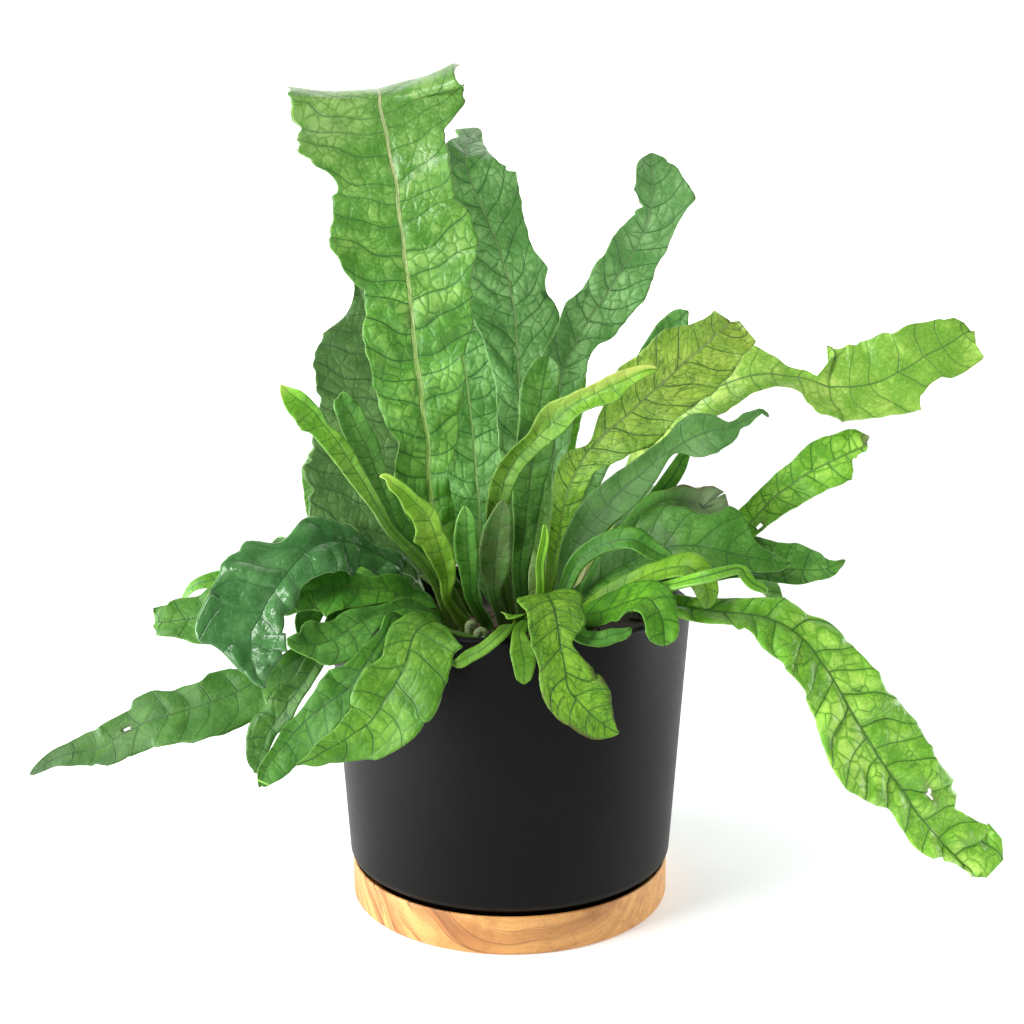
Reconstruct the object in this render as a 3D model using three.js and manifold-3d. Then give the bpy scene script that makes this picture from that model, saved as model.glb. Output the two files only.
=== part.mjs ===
import * as THREE from 'three';
import { mergeVertices } from 'three/addons/utils/BufferGeometryUtils.js';
import Module from 'manifold-3d';

// A fern with crocodile-patterned strap fronds, in a tapered ceramic pot on a turned wooden saucer.
// Millimetres, +Z up. The origin is the middle of the saucer's underside, and the front looks along -Y.

// Pot
const RIM_RADIUS = 89;
const POT_TOP = 148;
const POT_WALL = 5;
const POT_FOOT_RADIUS = 72.8;
const POT_FOOT_HEIGHT = 6;
const POT_SHOULDER_RADIUS = 80.6;
const POT_SHOULDER_ROUND = 2.4;
const POT_FLOOR = 6;
const DRAIN_RADIUS = 7;

// Saucer
const SAUCER_RADIUS = 79.3;
const SAUCER_HEIGHT = 18;
const SAUCER_RECESS_RADIUS = 74.5;
const SAUCER_RECESS_DEPTH = 5;
const SAUCER_EDGE = 1.6;

// Soil, and the mat of creeping rhizomes that the fronds grow from
const SOIL_TOP = 133;
const MAT_FLOOR = 120;
const MAT_TOP = 134;
const MAT_RADIUS = 56;
const MAT_SIDES = 40;
const MAT_LOBES = [{ count: 5, depth: 2.2, turn: 0.6 }, { count: 9, depth: 1.3, turn: 2 }];
const MAT_BED_SLOPE = 9;
const SOIL_DIP = 1.5;
const STIPE_FOOT = 128;
const STIPE_COLLAR = 137;
const STIPE_WIDTH = 3;
const STIPE_HOLE_RADIUS = 4.2;
const STIPE_HOLE_SIDES = 6;

// Blades
const LEAF_THICKNESS = { middle: 1.5, half: 1.1, edge: 0.8 };
const STIPE_THICKENING = { middle: 1.9, half: 1.5, edge: 1.1 };
const ACROSS = [-1, -0.5, 0, 0.5, 1];
const WIDE_BLADE = 12;
const WIDE_SPACING = 18;
const NARROW_SPACING = 26;
const STIPE_UP_TO = 5;
const BLADE_FROM = 10;
const STIPE_FADE = { start: 0.22, end: 0.62 };
const SMALLEST_HALF_WIDTH = 0.9;
const QUILTING = 0.7;
const WAVE_LENGTH = 48;
const WAVE_START = { left: 0.7, right: 2.3 };

// Fit
const GAP = 0.3;
const ROUND_SIDES = 44;

const POT_BOTTOM = SAUCER_HEIGHT - SAUCER_RECESS_DEPTH + GAP;

const COLOURS = {
  ceramic: 0x1f2020,
  wood: 0xc98f52,
  soil: 0x2f2118,
  rhizome: 0x5b3d25,
  fresh: 0x3f8428,
  mid: 0x35701f,
  bright: 0x5c9c2e,
  lime: 0x93b83a,
  net: 0x78a032,
  deep: 0x27591f,
  glossy: 0x1f5a22,
  dusk: 0x4a5e3c,
};

// The fronds, front and back. Each row is a point of the midrib, from where the stipe leaves the rhizomes
// to the tip, and the blade's width there to its left and its right. face is where the upper side looks,
// in even steps from root to tip. cup lifts the edges, and ruffle is the height of the waves along them.
const FRONDS = [
  { name: 'frond_tall_front', tone: 'fresh', cup: 0.12, ruffle: 2.2, root: [-14, 2],
    face: [[0, -1, 0], [0, -1, 0], [0, -1, 0], [0, -1, 0], [0, -1, 0], [0, -1, 0], [0, -1, 0], [0, -1, 0], [0, -1, 0], [-0.02, -1, 0.2], [-0.08, -0.8, 0.6], [-0.17, 0, 1], [-0.1, 0.9, 0.4]],
    rows: [[-32, -4, 159, 6, 5], [-36, -7, 178, 10, 11], [-38, -10, 198, 15, 10],
      [-39, -12, 213, 16, 10], [-39, -14, 227, 14, 14], [-41, -15, 240, 19, 18],
      [-42, -16, 253, 22, 21], [-44, -16, 265, 21, 23], [-45, -17, 277, 24, 27],
      [-46, -17, 289, 21, 29], [-47, -16, 300, 22, 30], [-49, -15, 311, 29, 35],
      [-50, -13, 323, 34, 34], [-52, -10, 335, 31, 27], [-53, -6, 346, 29, 27], [-55, -3, 354, 28, 27],
      [-57, 0, 363, 40, 27], [-59, 4, 373, 41, 32], [-62, 11, 384, 42, 41], [-63, 17, 392, 42, 38],
      [-67, 36, 397, 41, 41], [-71, 53, 391, 23, 26], [-73, 60, 379, 3, 3]] },
  { name: 'frond_tall_behind', tone: 'deep', cup: 0.12, ruffle: 1.8, root: [4, 24],
    face: [[0, -1, 0], [-0.1, -1, 0], [0.1, -1, 0], [0, -0.7, 0.5]],
    rows: [[3, 24, 162, 6, 6], [5, 30, 203, 9, 9], [5, 31, 223, 11, 12], [5, 33, 246, 12, 13],
      [4, 34, 266, 15, 17], [3, 34, 283, 20, 23], [1, 34, 297, 25, 17], [-1, 34, 305, 24, 21],
      [-3, 34, 312, 24, 17], [-6, 34, 321, 22, 16], [-10, 34, 331, 20, 18], [-14, 35, 340, 18, 21],
      [-18, 36, 349, 17, 21], [-21, 38, 357, 14, 16], [-23, 45, 367, 11, 13], [-21, 58, 377, 6, 8],
      [-17, 68, 384, 2, 2]] },
  { name: 'frond_tall_right', tone: 'deep', cup: 0.15, ruffle: 1.2, root: [12, 12],
    face: [[-0.2, -1, 0], [0, -1, 0.1], [0.1, -1, 0]],
    rows: [[18, 12, 164, 8, 5], [22, 18, 209, 6, 6], [24, 22, 239, 8, 9], [27, 25, 259, 12, 11],
      [34, 28, 274, 12, 10], [40, 29, 284, 14, 15], [47, 31, 294, 12, 16], [53, 32, 303, 13, 17],
      [58, 34, 311, 12, 16], [63, 35, 319, 13, 14], [67, 36, 326, 11, 14], [70, 36, 333, 9, 14],
      [71, 37, 340, 6, 18], [72, 37, 348, 9, 19], [72, 37, 355, 9, 14], [71, 37, 361, 8, 9],
      [71, 37, 365, 4, 5], [71, 37, 367, 1, 2]] },
  { name: 'frond_back_left', tone: 'dusk', cup: 0.1, ruffle: 1.6, root: [-24, 28],
    face: [[0, -1, 0], [0.1, -1, 0], [0.1, -1, 0.1]],
    rows: [[-53, 34, 160, 6, 6], [-54, 37, 173, 41, 15], [-56, 40, 186, 49, 16],
      [-57, 42, 199, 48, 22], [-59, 45, 216, 47, 22], [-62, 48, 232, 41, 23], [-65, 50, 247, 36, 21],
      [-68, 52, 261, 34, 19], [-71, 53, 276, 32, 17], [-75, 54, 289, 13, 13], [-79, 55, 299, 3, 8],
      [-81, 55, 305, 1, 2]] },
  { name: 'frond_mid_behind', tone: 'deep', cup: 0.12, ruffle: 1.8, root: [-5, 14],
    face: [[0, -1, 0], [0, -1, 0.1]],
    rows: [[-14, 18, 163, 8, 7], [-16, 30, 192, 15, 12], [-19, 41, 222, 15, 16],
      [-22, 46, 249, 14, 20], [-25, 52, 269, 13, 18], [-25, 56, 283, 2, 2]] },
  { name: 'frond_spoon', tone: 'mid', cup: 0.2, ruffle: 1.6, root: [7, -4],
    face: [[0, -1, 0], [0, -1, 0.2], [0, -1, 0]],
    rows: [[5, -6, 161, 4, 4], [7, -10, 183, 5, 6], [9, -14, 202, 8, 7], [11, -19, 220, 8, 9],
      [13, -24, 237, 9, 10], [15, -24, 251, 10, 8], [17, -21, 262, 7, 6], [18, -20, 267, 1, 1]] },
  { name: 'frond_yellow_curl', tone: 'lime', cup: 0.45, ruffle: 1.2, root: [0, -12],
    face: [[0, -1, 0], [0, -1, 0.3], [-0.2, -1, 0.5]],
    rows: [[-5, -18, 169, 3, 3], [-6, -24, 190, 5, 4], [-3, -28, 207, 6, 5], [3, -31, 219, 5, 5],
      [12, -34, 229, 4, 6], [21, -38, 238, 8, 7], [29, -42, 245, 5, 6], [38, -45, 250, 4, 7],
      [46, -47, 254, 4, 8], [53, -48, 257, 4, 4], [59, -49, 260, 3, 3], [63, -49, 261, 2, 2],
      [66, -49, 261, 1, 1]] },
  { name: 'frond_net_yellow', tone: 'net', cup: 0.08, ruffle: 0.8, root: [15, -8],
    face: [[-0.3, -1, 0.1], [-0.1, -1, 0.2], [0.1, -1, 0.1]],
    rows: [[20, -14, 161, 3, 3], [24, -19, 184, 5, 7], [25, -21, 193, 5, 7], [28, -24, 205, 8, 8],
      [33, -28, 217, 9, 8], [38, -30, 225, 2, 12], [46, -33, 233, 8, 15], [55, -35, 241, 15, 18],
      [63, -37, 249, 18, 17], [72, -39, 257, 17, 17], [80, -40, 265, 17, 19], [87, -41, 271, 13, 18],
      [93, -42, 277, 9, 15], [97, -42, 280, 9, 14], [99, -42, 282, 9, 14]] },
  { name: 'frond_behind_net', tone: 'deep', cup: 0.2, ruffle: 1.2, root: [20, 16],
    face: [[-0.2, -1, 0.2], [0, -1, 0.3]],
    rows: [[25, 16, 163, 3, 3], [41, 14, 204, 5, 5], [57, 12, 240, 6, 6], [71, 10, 267, 7, 7],
      [82, 9, 283, 6, 6], [87, 8, 288, 1, 1]] },
  { name: 'frond_long_right', tone: 'bright', cup: 0.12, ruffle: 0.9, root: [25, 2],
    face: [[-1, 0.1, 0.2], [-0.3, -0.8, 0.5], [-0.2, -0.8, 0.6], [0, -0.9, 0.4], [0.1, -1, 0.3]],
    rows: [[40, 0, 166, 5, 5], [56, -2, 201, 7, 8], [71, -5, 227, 11, 11], [76, -6, 234, 10, 12],
      [86, -8, 243, 11, 14], [96, -10, 250, 12, 15], [105, -11, 254, 14, 13], [114, -13, 257, 18, 10],
      [123, -14, 258, 11, 8], [131, -15, 257, 6, 7], [139, -16, 256, 4, 10], [145, -17, 254, 4, 14],
      [150, -17, 252, 20, 17], [155, -17, 252, 20, 19], [161, -18, 252, 22, 18],
      [168, -18, 253, 21, 18], [175, -18, 255, 21, 19], [182, -19, 259, 20, 20],
      [188, -19, 262, 18, 13], [195, -19, 267, 16, 13], [201, -19, 270, 14, 15],
      [208, -19, 274, 12, 15], [212, -19, 277, 9, 13], [215, -19, 278, 3, 4]] },
  { name: 'frond_dark_wave', tone: 'deep', cup: 0.18, ruffle: 0.9, root: [17, -20],
    face: [[-0.3, -1, 0.3], [-0.1, -1, 0.4], [0, -1, 0.3]],
    rows: [[24, -24, 156, 3, 3], [30, -29, 177, 6, 4], [41, -34, 193, 10, 8], [53, -38, 207, 8, 10],
      [60, -40, 213, 7, 8], [67, -42, 220, 6, 5], [74, -44, 225, 7, 2], [80, -45, 229, 9, 9],
      [86, -46, 232, 10, 11], [92, -47, 234, 7, 11], [98, -48, 235, 3, 7], [102, -48, 237, 2, 3],
      [106, -48, 239, 3, 3], [109, -48, 241, 2, 2], [112, -48, 243, 1, 2], [114, -48, 242, 1, 1],
      [116, -48, 240, 1, 1]] },
  { name: 'frond_short_strip', tone: 'bright', cup: 0.2, ruffle: 1, root: [17, 3],
    face: [[-0.2, -1, 0.3], [0, -1, 0.4]],
    rows: [[39, -10, 158, 2, 2], [56, -14, 181, 4, 4], [69, -17, 198, 4, 4], [78, -19, 211, 4, 4],
      [82, -20, 219, 3, 3], [85, -20, 223, 1, 1]] },
  { name: 'frond_purple_ruffle', tone: 'dusk', cup: 0.12, ruffle: 2.2, root: [27, -8],
    face: [[-0.9, 0.4, 0.2], [-0.3, -1, 0.5], [-0.1, -1, 0.6], [0, -1, 0.5]],
    rows: [[39, -16, 159, 4, 4], [62, -24, 191, 6, 6], [68, -27, 197, 7, 6], [74, -29, 200, 5, 9],
      [80, -31, 200, 7, 9], [87, -32, 199, 6, 9], [92, -33, 200, 7, 9], [96, -34, 202, 6, 7],
      [99, -34, 204, 4, 7]] },
  { name: 'frond_broad_right', tone: 'mid', cup: 0.1, ruffle: 1, root: [23, -28],
    face: [[-0.9, 0.4, 0.2], [-0.2, -1, 0.6], [0, -1, 0.8], [0.1, -1, 0.6]],
    rows: [[32, -32, 153, 5, 5], [45, -38, 166, 9, 7], [60, -45, 176, 13, 14], [68, -48, 180, 21, 17],
      [77, -51, 182, 19, 18], [86, -53, 182, 16, 17], [93, -56, 181, 22, 14], [101, -58, 179, 18, 9],
      [108, -60, 178, 9, 7], [115, -61, 177, 5, 6], [120, -62, 176, 3, 4], [124, -63, 176, 1, 1]] },
  { name: 'frond_toothed_right', tone: 'bright', cup: 0.12, ruffle: 0.8, root: [35, -2],
    face: [[-1, 0.1, 0.2], [-0.2, -0.8, 0.6], [-0.1, -1, 0.5], [0, -1, 0.4]],
    rows: [[51, -2, 151, 5, 5], [77, -7, 163, 6, 6], [95, -10, 172, 7, 7], [109, -13, 180, 6, 6],
      [115, -14, 186, 8, 7], [121, -15, 193, 8, 8], [127, -16, 200, 8, 10], [134, -16, 205, 9, 11],
      [140, -17, 210, 9, 12], [147, -17, 214, 12, 12], [153, -18, 217, 12, 12], [159, -18, 220, 11, 9],
      [164, -18, 222, 11, 2], [167, -18, 224, 9, 3], [169, -18, 226, 7, 1]] },
  { name: 'frond_low_right', tone: 'mid', cup: 0.12, ruffle: 0.8, root: [38, -17],
    face: [[-0.8, 0.5, 0.2], [-0.2, -0.8, 0.8], [0, -0.8, 0.8], [0.1, -0.9, 0.6]],
    rows: [[48, -28, 151, 5, 5], [68, -36, 160, 6, 6], [88, -43, 167, 6, 5], [103, -47, 173, 11, 9],
      [110, -49, 173, 14, 9], [117, -50, 172, 13, 8], [125, -51, 171, 14, 8], [131, -52, 171, 14, 8],
      [137, -53, 171, 11, 6], [143, -54, 172, 7, 5], [147, -54, 174, 2, 3], [151, -54, 176, 1, 1]] },
  { name: 'frond_folded_right', tone: 'mid', cup: 0.3, ruffle: 1, root: [12, -28],
    face: [[-0.8, 0.6, 0.2], [-0.2, -1, 0.5], [0, -1, 0.6], [0.2, -1, 0.6]],
    rows: [[23, -36, 153, 3, 3], [31, -42, 172, 4, 4], [43, -48, 182, 5, 4], [55, -53, 185, 6, 5],
      [65, -56, 180, 4, 5], [73, -59, 177, 2, 2], [79, -61, 176, 1, 1]] },
  { name: 'frond_loop_right', tone: 'lime', cup: 0.2, ruffle: 1, root: [22, -37],
    face: [[-0.9, 0.5, 0.2], [-0.2, -0.8, 0.8], [0, -0.7, 0.9], [0.3, -0.9, 0.4]],
    rows: [[37, -48, 154, 4, 4], [54, -56, 165, 5, 5], [66, -70, 174, 7, 7], [77, -78, 177, 8, 8],
      [83, -81, 171, 6, 7], [85, -82, 165, 4, 5], [84, -82, 160, 1, 1]] },
  { name: 'frond_finger_right', tone: 'bright', cup: 0.2, ruffle: 0.4, root: [30, -22],
    face: [[-0.5, 0.8, 0.2], [-0.2, -0.8, 0.8], [0, -0.7, 0.8], [0.2, -0.9, 0.4]],
    rows: [[51, -44, 156, 3, 3], [64, -76, 167, 3, 3], [79, -97, 176, 3, 3], [95, -96, 180, 2, 3],
      [98, -97, 177, 3, 3], [101, -98, 174, 2, 3], [105, -98, 172, 2, 2], [107, -98, 170, 1, 1]] },
  { name: 'frond_elbow_front', tone: 'bright', cup: 0.12, ruffle: 0.7, root: [17, -44],
    face: [[-0.7, 0.7, 0.2], [-0.1, -0.7, 0.9], [0, -0.7, 0.8], [0.1, -1, 0.1]],
    rows: [[23, -54, 147, 4, 4], [33, -62, 152, 7, 9], [44, -71, 157, 10, 10], [52, -82, 163, 12, 14],
      [58, -91, 166, 11, 15], [61, -96, 164, 9, 9], [63, -100, 160, 7, 8], [64, -102, 155, 6, 8],
      [64, -103, 151, 4, 6], [64, -103, 149, 1, 2]] },
  { name: 'frond_long_droop', tone: 'bright', cup: 0.12, ruffle: 1.3, root: [33, -34],
    face: [[-0.8, 0.6, 0.2], [-0.3, -0.6, 0.9], [-0.1, -0.8, 0.8], [0.2, -1, 0.5], [0.3, -1, 0.4]],
    rows: [[50, -46, 149, 4, 4], [63, -56, 155, 5, 5], [74, -64, 157, 6, 6], [84, -71, 157, 7, 8],
      [92, -76, 157, 8, 9], [101, -80, 157, 8, 9], [109, -82, 156, 9, 13], [116, -85, 154, 11, 16],
      [121, -87, 151, 11, 16], [127, -88, 146, 14, 17], [132, -90, 139, 15, 15],
      [137, -91, 132, 17, 16], [141, -92, 125, 18, 17], [145, -93, 118, 18, 18],
      [149, -94, 111, 22, 20], [153, -95, 105, 22, 23], [157, -96, 98, 23, 22], [162, -97, 91, 22, 17],
      [168, -98, 83, 20, 11], [173, -99, 75, 22, 10], [179, -100, 68, 15, 11], [184, -100, 62, 17, 9],
      [190, -101, 56, 19, 3], [193, -101, 53, 21, 2], [196, -101, 51, 24, 2], [198, -102, 48, 23, 1]] },
  { name: 'frond_front_hang', tone: 'net', cup: 0.08, ruffle: 0.7, root: [2, -34],
    face: [[-0.4, 0.9, 0.2], [0, -0.5, 1], [0, -0.8, 0.6], [0, -1, 0.1], [0, -1, 0]],
    rows: [[14, -50, 151, 6, 6], [16, -64, 162, 8, 8], [17, -80, 164, 14, 14], [19, -93, 161, 12, 12],
      [20, -99, 156, 12, 12], [21, -104, 150, 5, 12], [22, -107, 145, 7, 11], [23, -108, 139, 11, 11],
      [24, -110, 133, 13, 11], [27, -111, 129, 14, 11], [31, -112, 125, 13, 10],
      [35, -112, 121, 10, 9], [39, -112, 118, 6, 7], [42, -112, 116, 3, 4], [44, -112, 115, 1, 2],
      [45, -112, 115, 1, 1]] },
  { name: 'frond_bright_lobe_left', tone: 'lime', cup: 0.15, ruffle: 0.6, root: [-5, -50],
    face: [[-0.1, 1, 0.2], [0, -0.7, 1], [0, -1, 0.5]],
    rows: [[0, -60, 146, 2, 2], [-1, -80, 151, 3, 3], [-4, -93, 151, 3, 3], [-11, -97, 146, 3, 3],
      [-17, -98, 143, 3, 3], [-21, -99, 141, 3, 2], [-24, -99, 140, 1, 1]] },
  { name: 'frond_bright_lobe_right', tone: 'lime', cup: 0.12, ruffle: 0.5, root: [4, -51],
    face: [[-0, 1, 0.2], [0, -0.7, 1], [0, -1, 0.2]],
    rows: [[7, -68, 150, 2, 2], [5, -82, 151, 3, 3], [4, -93, 151, 3, 3], [5, -97, 146, 5, 5],
      [6, -99, 141, 5, 5], [6, -101, 137, 4, 4], [6, -101, 134, 3, 3], [6, -101, 132, 1, 1]] },
  { name: 'frond_rim_dark', tone: 'deep', cup: 0.2, ruffle: 0.8, root: [12, -51],
    face: [[-0.4, 0.9, 0.2], [0, -0.6, 1], [0, -1, 0.5]],
    rows: [[20, -70, 150, 4, 4], [27, -84, 151, 4, 4], [31, -94, 150, 4, 4], [38, -97, 150, 4, 4],
      [43, -97, 152, 3, 4], [48, -97, 153, 2, 3], [51, -97, 155, 1, 1]] },
  { name: 'frond_left_bright', tone: 'bright', cup: 0.2, ruffle: 0.8, root: [-29, -12],
    face: [[0.2, -1, 0.1], [0.2, -1, 0.3], [0.2, -1, 0.3]],
    rows: [[-37, -18, 162, 3, 3], [-55, -24, 184, 3, 2], [-62, -27, 196, 3, 3], [-68, -30, 208, 5, 3],
      [-74, -32, 218, 6, 4], [-79, -34, 227, 7, 4], [-85, -35, 235, 7, 2], [-90, -36, 242, 10, 3],
      [-96, -38, 247, 8, 4], [-100, -38, 250, 5, 3], [-103, -38, 253, 2, 1], [-104, -38, 254, 1, 1]] },
  { name: 'frond_left_round', tone: 'mid', cup: 0.2, ruffle: 0.7, root: [-23, -4],
    face: [[0.2, -1, 0.1], [0.2, -1, 0.3], [0.2, -1, 0.3]],
    rows: [[-34, -8, 160, 3, 3], [-53, -15, 184, 4, 6], [-57, -18, 195, 5, 5], [-61, -20, 206, 6, 5],
      [-64, -22, 215, 7, 5], [-67, -24, 224, 7, 6], [-71, -26, 233, 7, 6], [-74, -27, 240, 7, 6],
      [-77, -28, 244, 5, 6], [-78, -28, 248, 3, 4], [-79, -28, 249, 2, 2]] },
  { name: 'frond_left_curl', tone: 'lime', cup: 0.3, ruffle: 0.8, root: [-20, -26],
    face: [[0.1, -1, 0.1], [0, -1, 0.3], [0.2, -1, 0.5]],
    rows: [[-29, -34, 153, 2, 2], [-29, -39, 166, 4, 4], [-32, -43, 178, 6, 6], [-34, -46, 187, 8, 4],
      [-38, -48, 196, 7, 5], [-43, -50, 202, 6, 3], [-48, -51, 207, 4, 3], [-52, -52, 210, 3, 3],
      [-55, -52, 213, 1, 2], [-58, -52, 214, 1, 1]] },
  { name: 'frond_big_dark_left', tone: 'glossy', cup: 0.1, ruffle: 1.2, root: [-38, -6],
    face: [[0.8, 0.6, 0.2], [0.2, -0.8, 0.6], [0.1, -0.8, 0.7], [0, -1, 0.6], [0, -1, 0.2]],
    rows: [[-43, -12, 155, 5, 5], [-54, -17, 166, 8, 7], [-63, -23, 173, 13, 5],
      [-71, -31, 179, 12, 7], [-79, -39, 182, 19, 11], [-86, -46, 182, 19, 14],
      [-92, -52, 179, 17, 11], [-96, -57, 175, 13, 16], [-100, -62, 170, 10, 24],
      [-104, -67, 164, 12, 26], [-107, -70, 159, 10, 25], [-109, -74, 154, 12, 25],
      [-112, -77, 149, 15, 24], [-112, -80, 144, 16, 19], [-112, -82, 139, 16, 9],
      [-110, -84, 134, 8, 5], [-108, -85, 130, 4, 3], [-105, -86, 126, 1, 1]] },
  { name: 'frond_far_left', tone: 'mid', cup: 0.1, ruffle: 0.8, root: [-41, 8],
    face: [[1, 0.1, 0.2], [0.1, -0.8, 0.8], [0, -0.9, 0.7], [0, -1, 0.5]],
    rows: [[-53, 8, 152, 4, 4], [-85, 3, 154, 7, 7], [-116, -2, 146, 11, 11], [-142, -7, 141, 15, 16],
      [-151, -8, 139, 15, 12], [-160, -9, 138, 11, 11], [-168, -10, 137, 8, 10],
      [-172, -10, 137, 7, 8], [-174, -10, 136, 6, 8]] },
  { name: 'frond_far_left_small', tone: 'bright', cup: 0.2, ruffle: 0.8, root: [-48, 14],
    face: [[1, -0.1, 0.2], [0.1, -0.8, 0.8], [0, -0.9, 0.7]],
    rows: [[-58, 15, 156, 3, 3], [-92, 18, 160, 4, 4], [-122, 16, 158, 6, 6], [-146, 14, 154, 5, 5],
      [-159, 12, 151, 3, 3], [-167, 14, 143, 1, 1]] },
  { name: 'frond_left_green', tone: 'fresh', cup: 0.25, ruffle: 0.8, root: [-34, -22],
    face: [[0.7, 0.7, 0.2], [0.2, -0.7, 0.8], [0.1, -0.8, 0.8], [0, -0.9, 0.6]],
    rows: [[-36, -28, 150, 5, 5], [-46, -35, 153, 7, 8], [-54, -40, 158, 9, 9], [-61, -45, 160, 9, 7],
      [-69, -48, 162, 12, 7], [-77, -50, 164, 15, 8], [-85, -53, 163, 16, 6], [-91, -55, 161, 15, 4],
      [-96, -58, 157, 6, 5], [-101, -60, 152, 1, 1]] },
  { name: 'frond_left_lower', tone: 'deep', cup: 0.2, ruffle: 0.9, root: [-29, -33],
    face: [[0.7, 0.7, 0.2], [0.1, -0.7, 0.8], [0.1, -0.8, 0.8], [0, -0.9, 0.6]],
    rows: [[-36, -42, 148, 4, 4], [-46, -50, 153, 5, 5], [-53, -56, 153, 6, 4], [-60, -61, 152, 7, 5],
      [-67, -68, 150, 10, 8], [-73, -74, 147, 14, 8], [-80, -79, 144, 13, 10], [-86, -82, 144, 9, 10],
      [-91, -85, 145, 4, 6], [-95, -86, 148, 2, 3]] },
  { name: 'frond_long_left', tone: 'mid', cup: 0.1, ruffle: 1, root: [-43, -20],
    face: [[1, 0.2, 0.2], [0.1, -0.6, 0.9], [0, -0.8, 0.8], [0, -1, 0.6]],
    rows: [[-53, -20, 150, 5, 5], [-70, -26, 154, 6, 6], [-85, -31, 155, 5, 5], [-94, -42, 145, 6, 6],
      [-93, -46, 133, 6, 6], [-100, -54, 128, 10, 6], [-108, -58, 124, 10, 7], [-115, -60, 121, 15, 9],
      [-121, -63, 118, 18, 13], [-129, -66, 115, 19, 14], [-136, -68, 113, 19, 11],
      [-143, -69, 111, 19, 12], [-151, -71, 109, 16, 13], [-159, -72, 107, 14, 14],
      [-165, -73, 104, 12, 10], [-172, -74, 101, 12, 9], [-179, -75, 96, 10, 9], [-187, -75, 94, 7, 8],
      [-194, -76, 93, 6, 6], [-201, -76, 91, 4, 4], [-207, -77, 87, 2, 3], [-212, -77, 84, 1, 1]] },
  { name: 'frond_low_left', tone: 'mid', cup: 0.15, ruffle: 0.6, root: [-38, -32],
    face: [[0.9, 0.4, 0.2], [0.1, -0.7, 0.8], [0, -0.9, 0.6], [0, -1, 0.2]],
    rows: [[-51, -38, 148, 4, 4], [-75, -50, 154, 3, 3], [-81, -64, 143, 4, 4], [-86, -75, 132, 4, 5],
      [-91, -78, 124, 4, 5], [-96, -81, 118, 5, 8], [-100, -83, 112, 6, 8], [-104, -85, 107, 4, 9],
      [-106, -87, 101, 3, 8], [-108, -88, 96, 3, 6], [-109, -89, 91, 3, 3], [-110, -89, 89, 1, 1]] },
  { name: 'frond_low_left_broad', tone: 'fresh', cup: 0.12, ruffle: 0.8, root: [-22, -41],
    face: [[0.7, 0.7, 0.2], [0.1, -0.7, 0.8], [0, -0.9, 0.5], [0, -1, 0.1]],
    rows: [[-43, -60, 147, 4, 4], [-51, -74, 154, 3, 3], [-54, -80, 148, 3, 3], [-59, -88, 141, 4, 5],
      [-63, -92, 135, 6, 7], [-68, -94, 128, 7, 12], [-74, -96, 124, 10, 10], [-80, -97, 120, 12, 7],
      [-86, -98, 115, 13, 5], [-91, -99, 110, 12, 5], [-95, -100, 105, 10, 4], [-100, -101, 99, 9, 3],
      [-103, -102, 94, 7, 3], [-105, -103, 89, 3, 1], [-105, -103, 88, 1, 1]] },
  { name: 'frond_front_left_big', tone: 'bright', cup: 0.08, ruffle: 1, root: [-14, -48],
    face: [[0.6, 0.8, 0.2], [0.1, -0.6, 1], [0, -0.8, 0.7], [0, -1, 0.2], [0, -1, 0]],
    rows: [[-26, -64, 145, 4, 4], [-31, -72, 151, 8, 7], [-36, -82, 153, 13, 9],
      [-40, -90, 151, 21, 11], [-42, -96, 146, 19, 11], [-43, -100, 142, 20, 10],
      [-45, -103, 137, 20, 12], [-48, -106, 132, 21, 14], [-51, -108, 128, 20, 14],
      [-54, -110, 123, 19, 13], [-58, -111, 118, 16, 11], [-63, -112, 115, 13, 8],
      [-69, -113, 111, 9, 6], [-75, -114, 108, 6, 5], [-80, -115, 105, 4, 3], [-85, -115, 103, 1, 1],
      [-87, -115, 102, 1, 1]] },
  { name: 'frond_heart_grey', tone: 'mid', cup: 0.25, ruffle: 0.8, root: [-11, -17],
    face: [[0, -1, 0.1], [0, -1, 0.2]],
    rows: [[-18, -24, 152, 3, 3], [-19, -28, 167, 5, 4], [-20, -31, 179, 6, 5], [-20, -34, 191, 5, 4],
      [-21, -35, 198, 1, 1]] },
  { name: 'frond_heart_finger', tone: 'lime', cup: 0.3, ruffle: 0.3, root: [8, -18],
    face: [[0, -1, 0.1], [0, -1, 0.2]],
    rows: [[14, -40, 157, 2, 2], [14, -43, 172, 2, 2], [16, -45, 183, 2, 2], [16, -46, 191, 1, 1]] },
  { name: 'frond_heart_brown', tone: 'dusk', cup: 0.2, ruffle: 1, root: [-2, -22],
    face: [[0, -1, 0.1], [0, -1, 0.2]],
    rows: [[-7, -28, 154, 3, 3], [-7, -31, 169, 7, 7], [-6, -34, 184, 7, 7], [-4, -36, 195, 4, 5],
      [-3, -37, 201, 1, 1]] },
  { name: 'frond_heart_low', tone: 'lime', cup: 0.2, ruffle: 0.4, root: [0, -42],
    face: [[0, 1, 0.2], [0, 0.2, 1], [0, -0.6, 1]],
    rows: [[4, -50, 147, 2, 2], [2, -57, 151, 6, 6], [1, -63, 152, 4, 4], [-1, -67, 152, 1, 1]] },
  { name: 'frond_back_tall', tone: 'deep', cup: 0.12, ruffle: 2, root: [-6, 38],
    face: [[0, -1, 0.2], [0, -0.6, 0.8], [0, 0.3, 1]],
    rows: [[-8, 44, 165, 4, 4], [-12, 56, 205, 10, 10], [-18, 72, 245, 16, 16], [-24, 92, 275, 18, 18],
      [-28, 116, 292, 15, 15], [-30, 140, 294, 9, 9], [-30, 156, 286, 2, 2]] },
  { name: 'frond_back_arch_left', tone: 'fresh', cup: 0.12, ruffle: 2, root: [-32, 38],
    face: [[0.6, -0.8, 0.2], [-0.4, 0.4, 1], [-0.2, 0.3, 1], [-0.5, 0.7, 0.6]],
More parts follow.
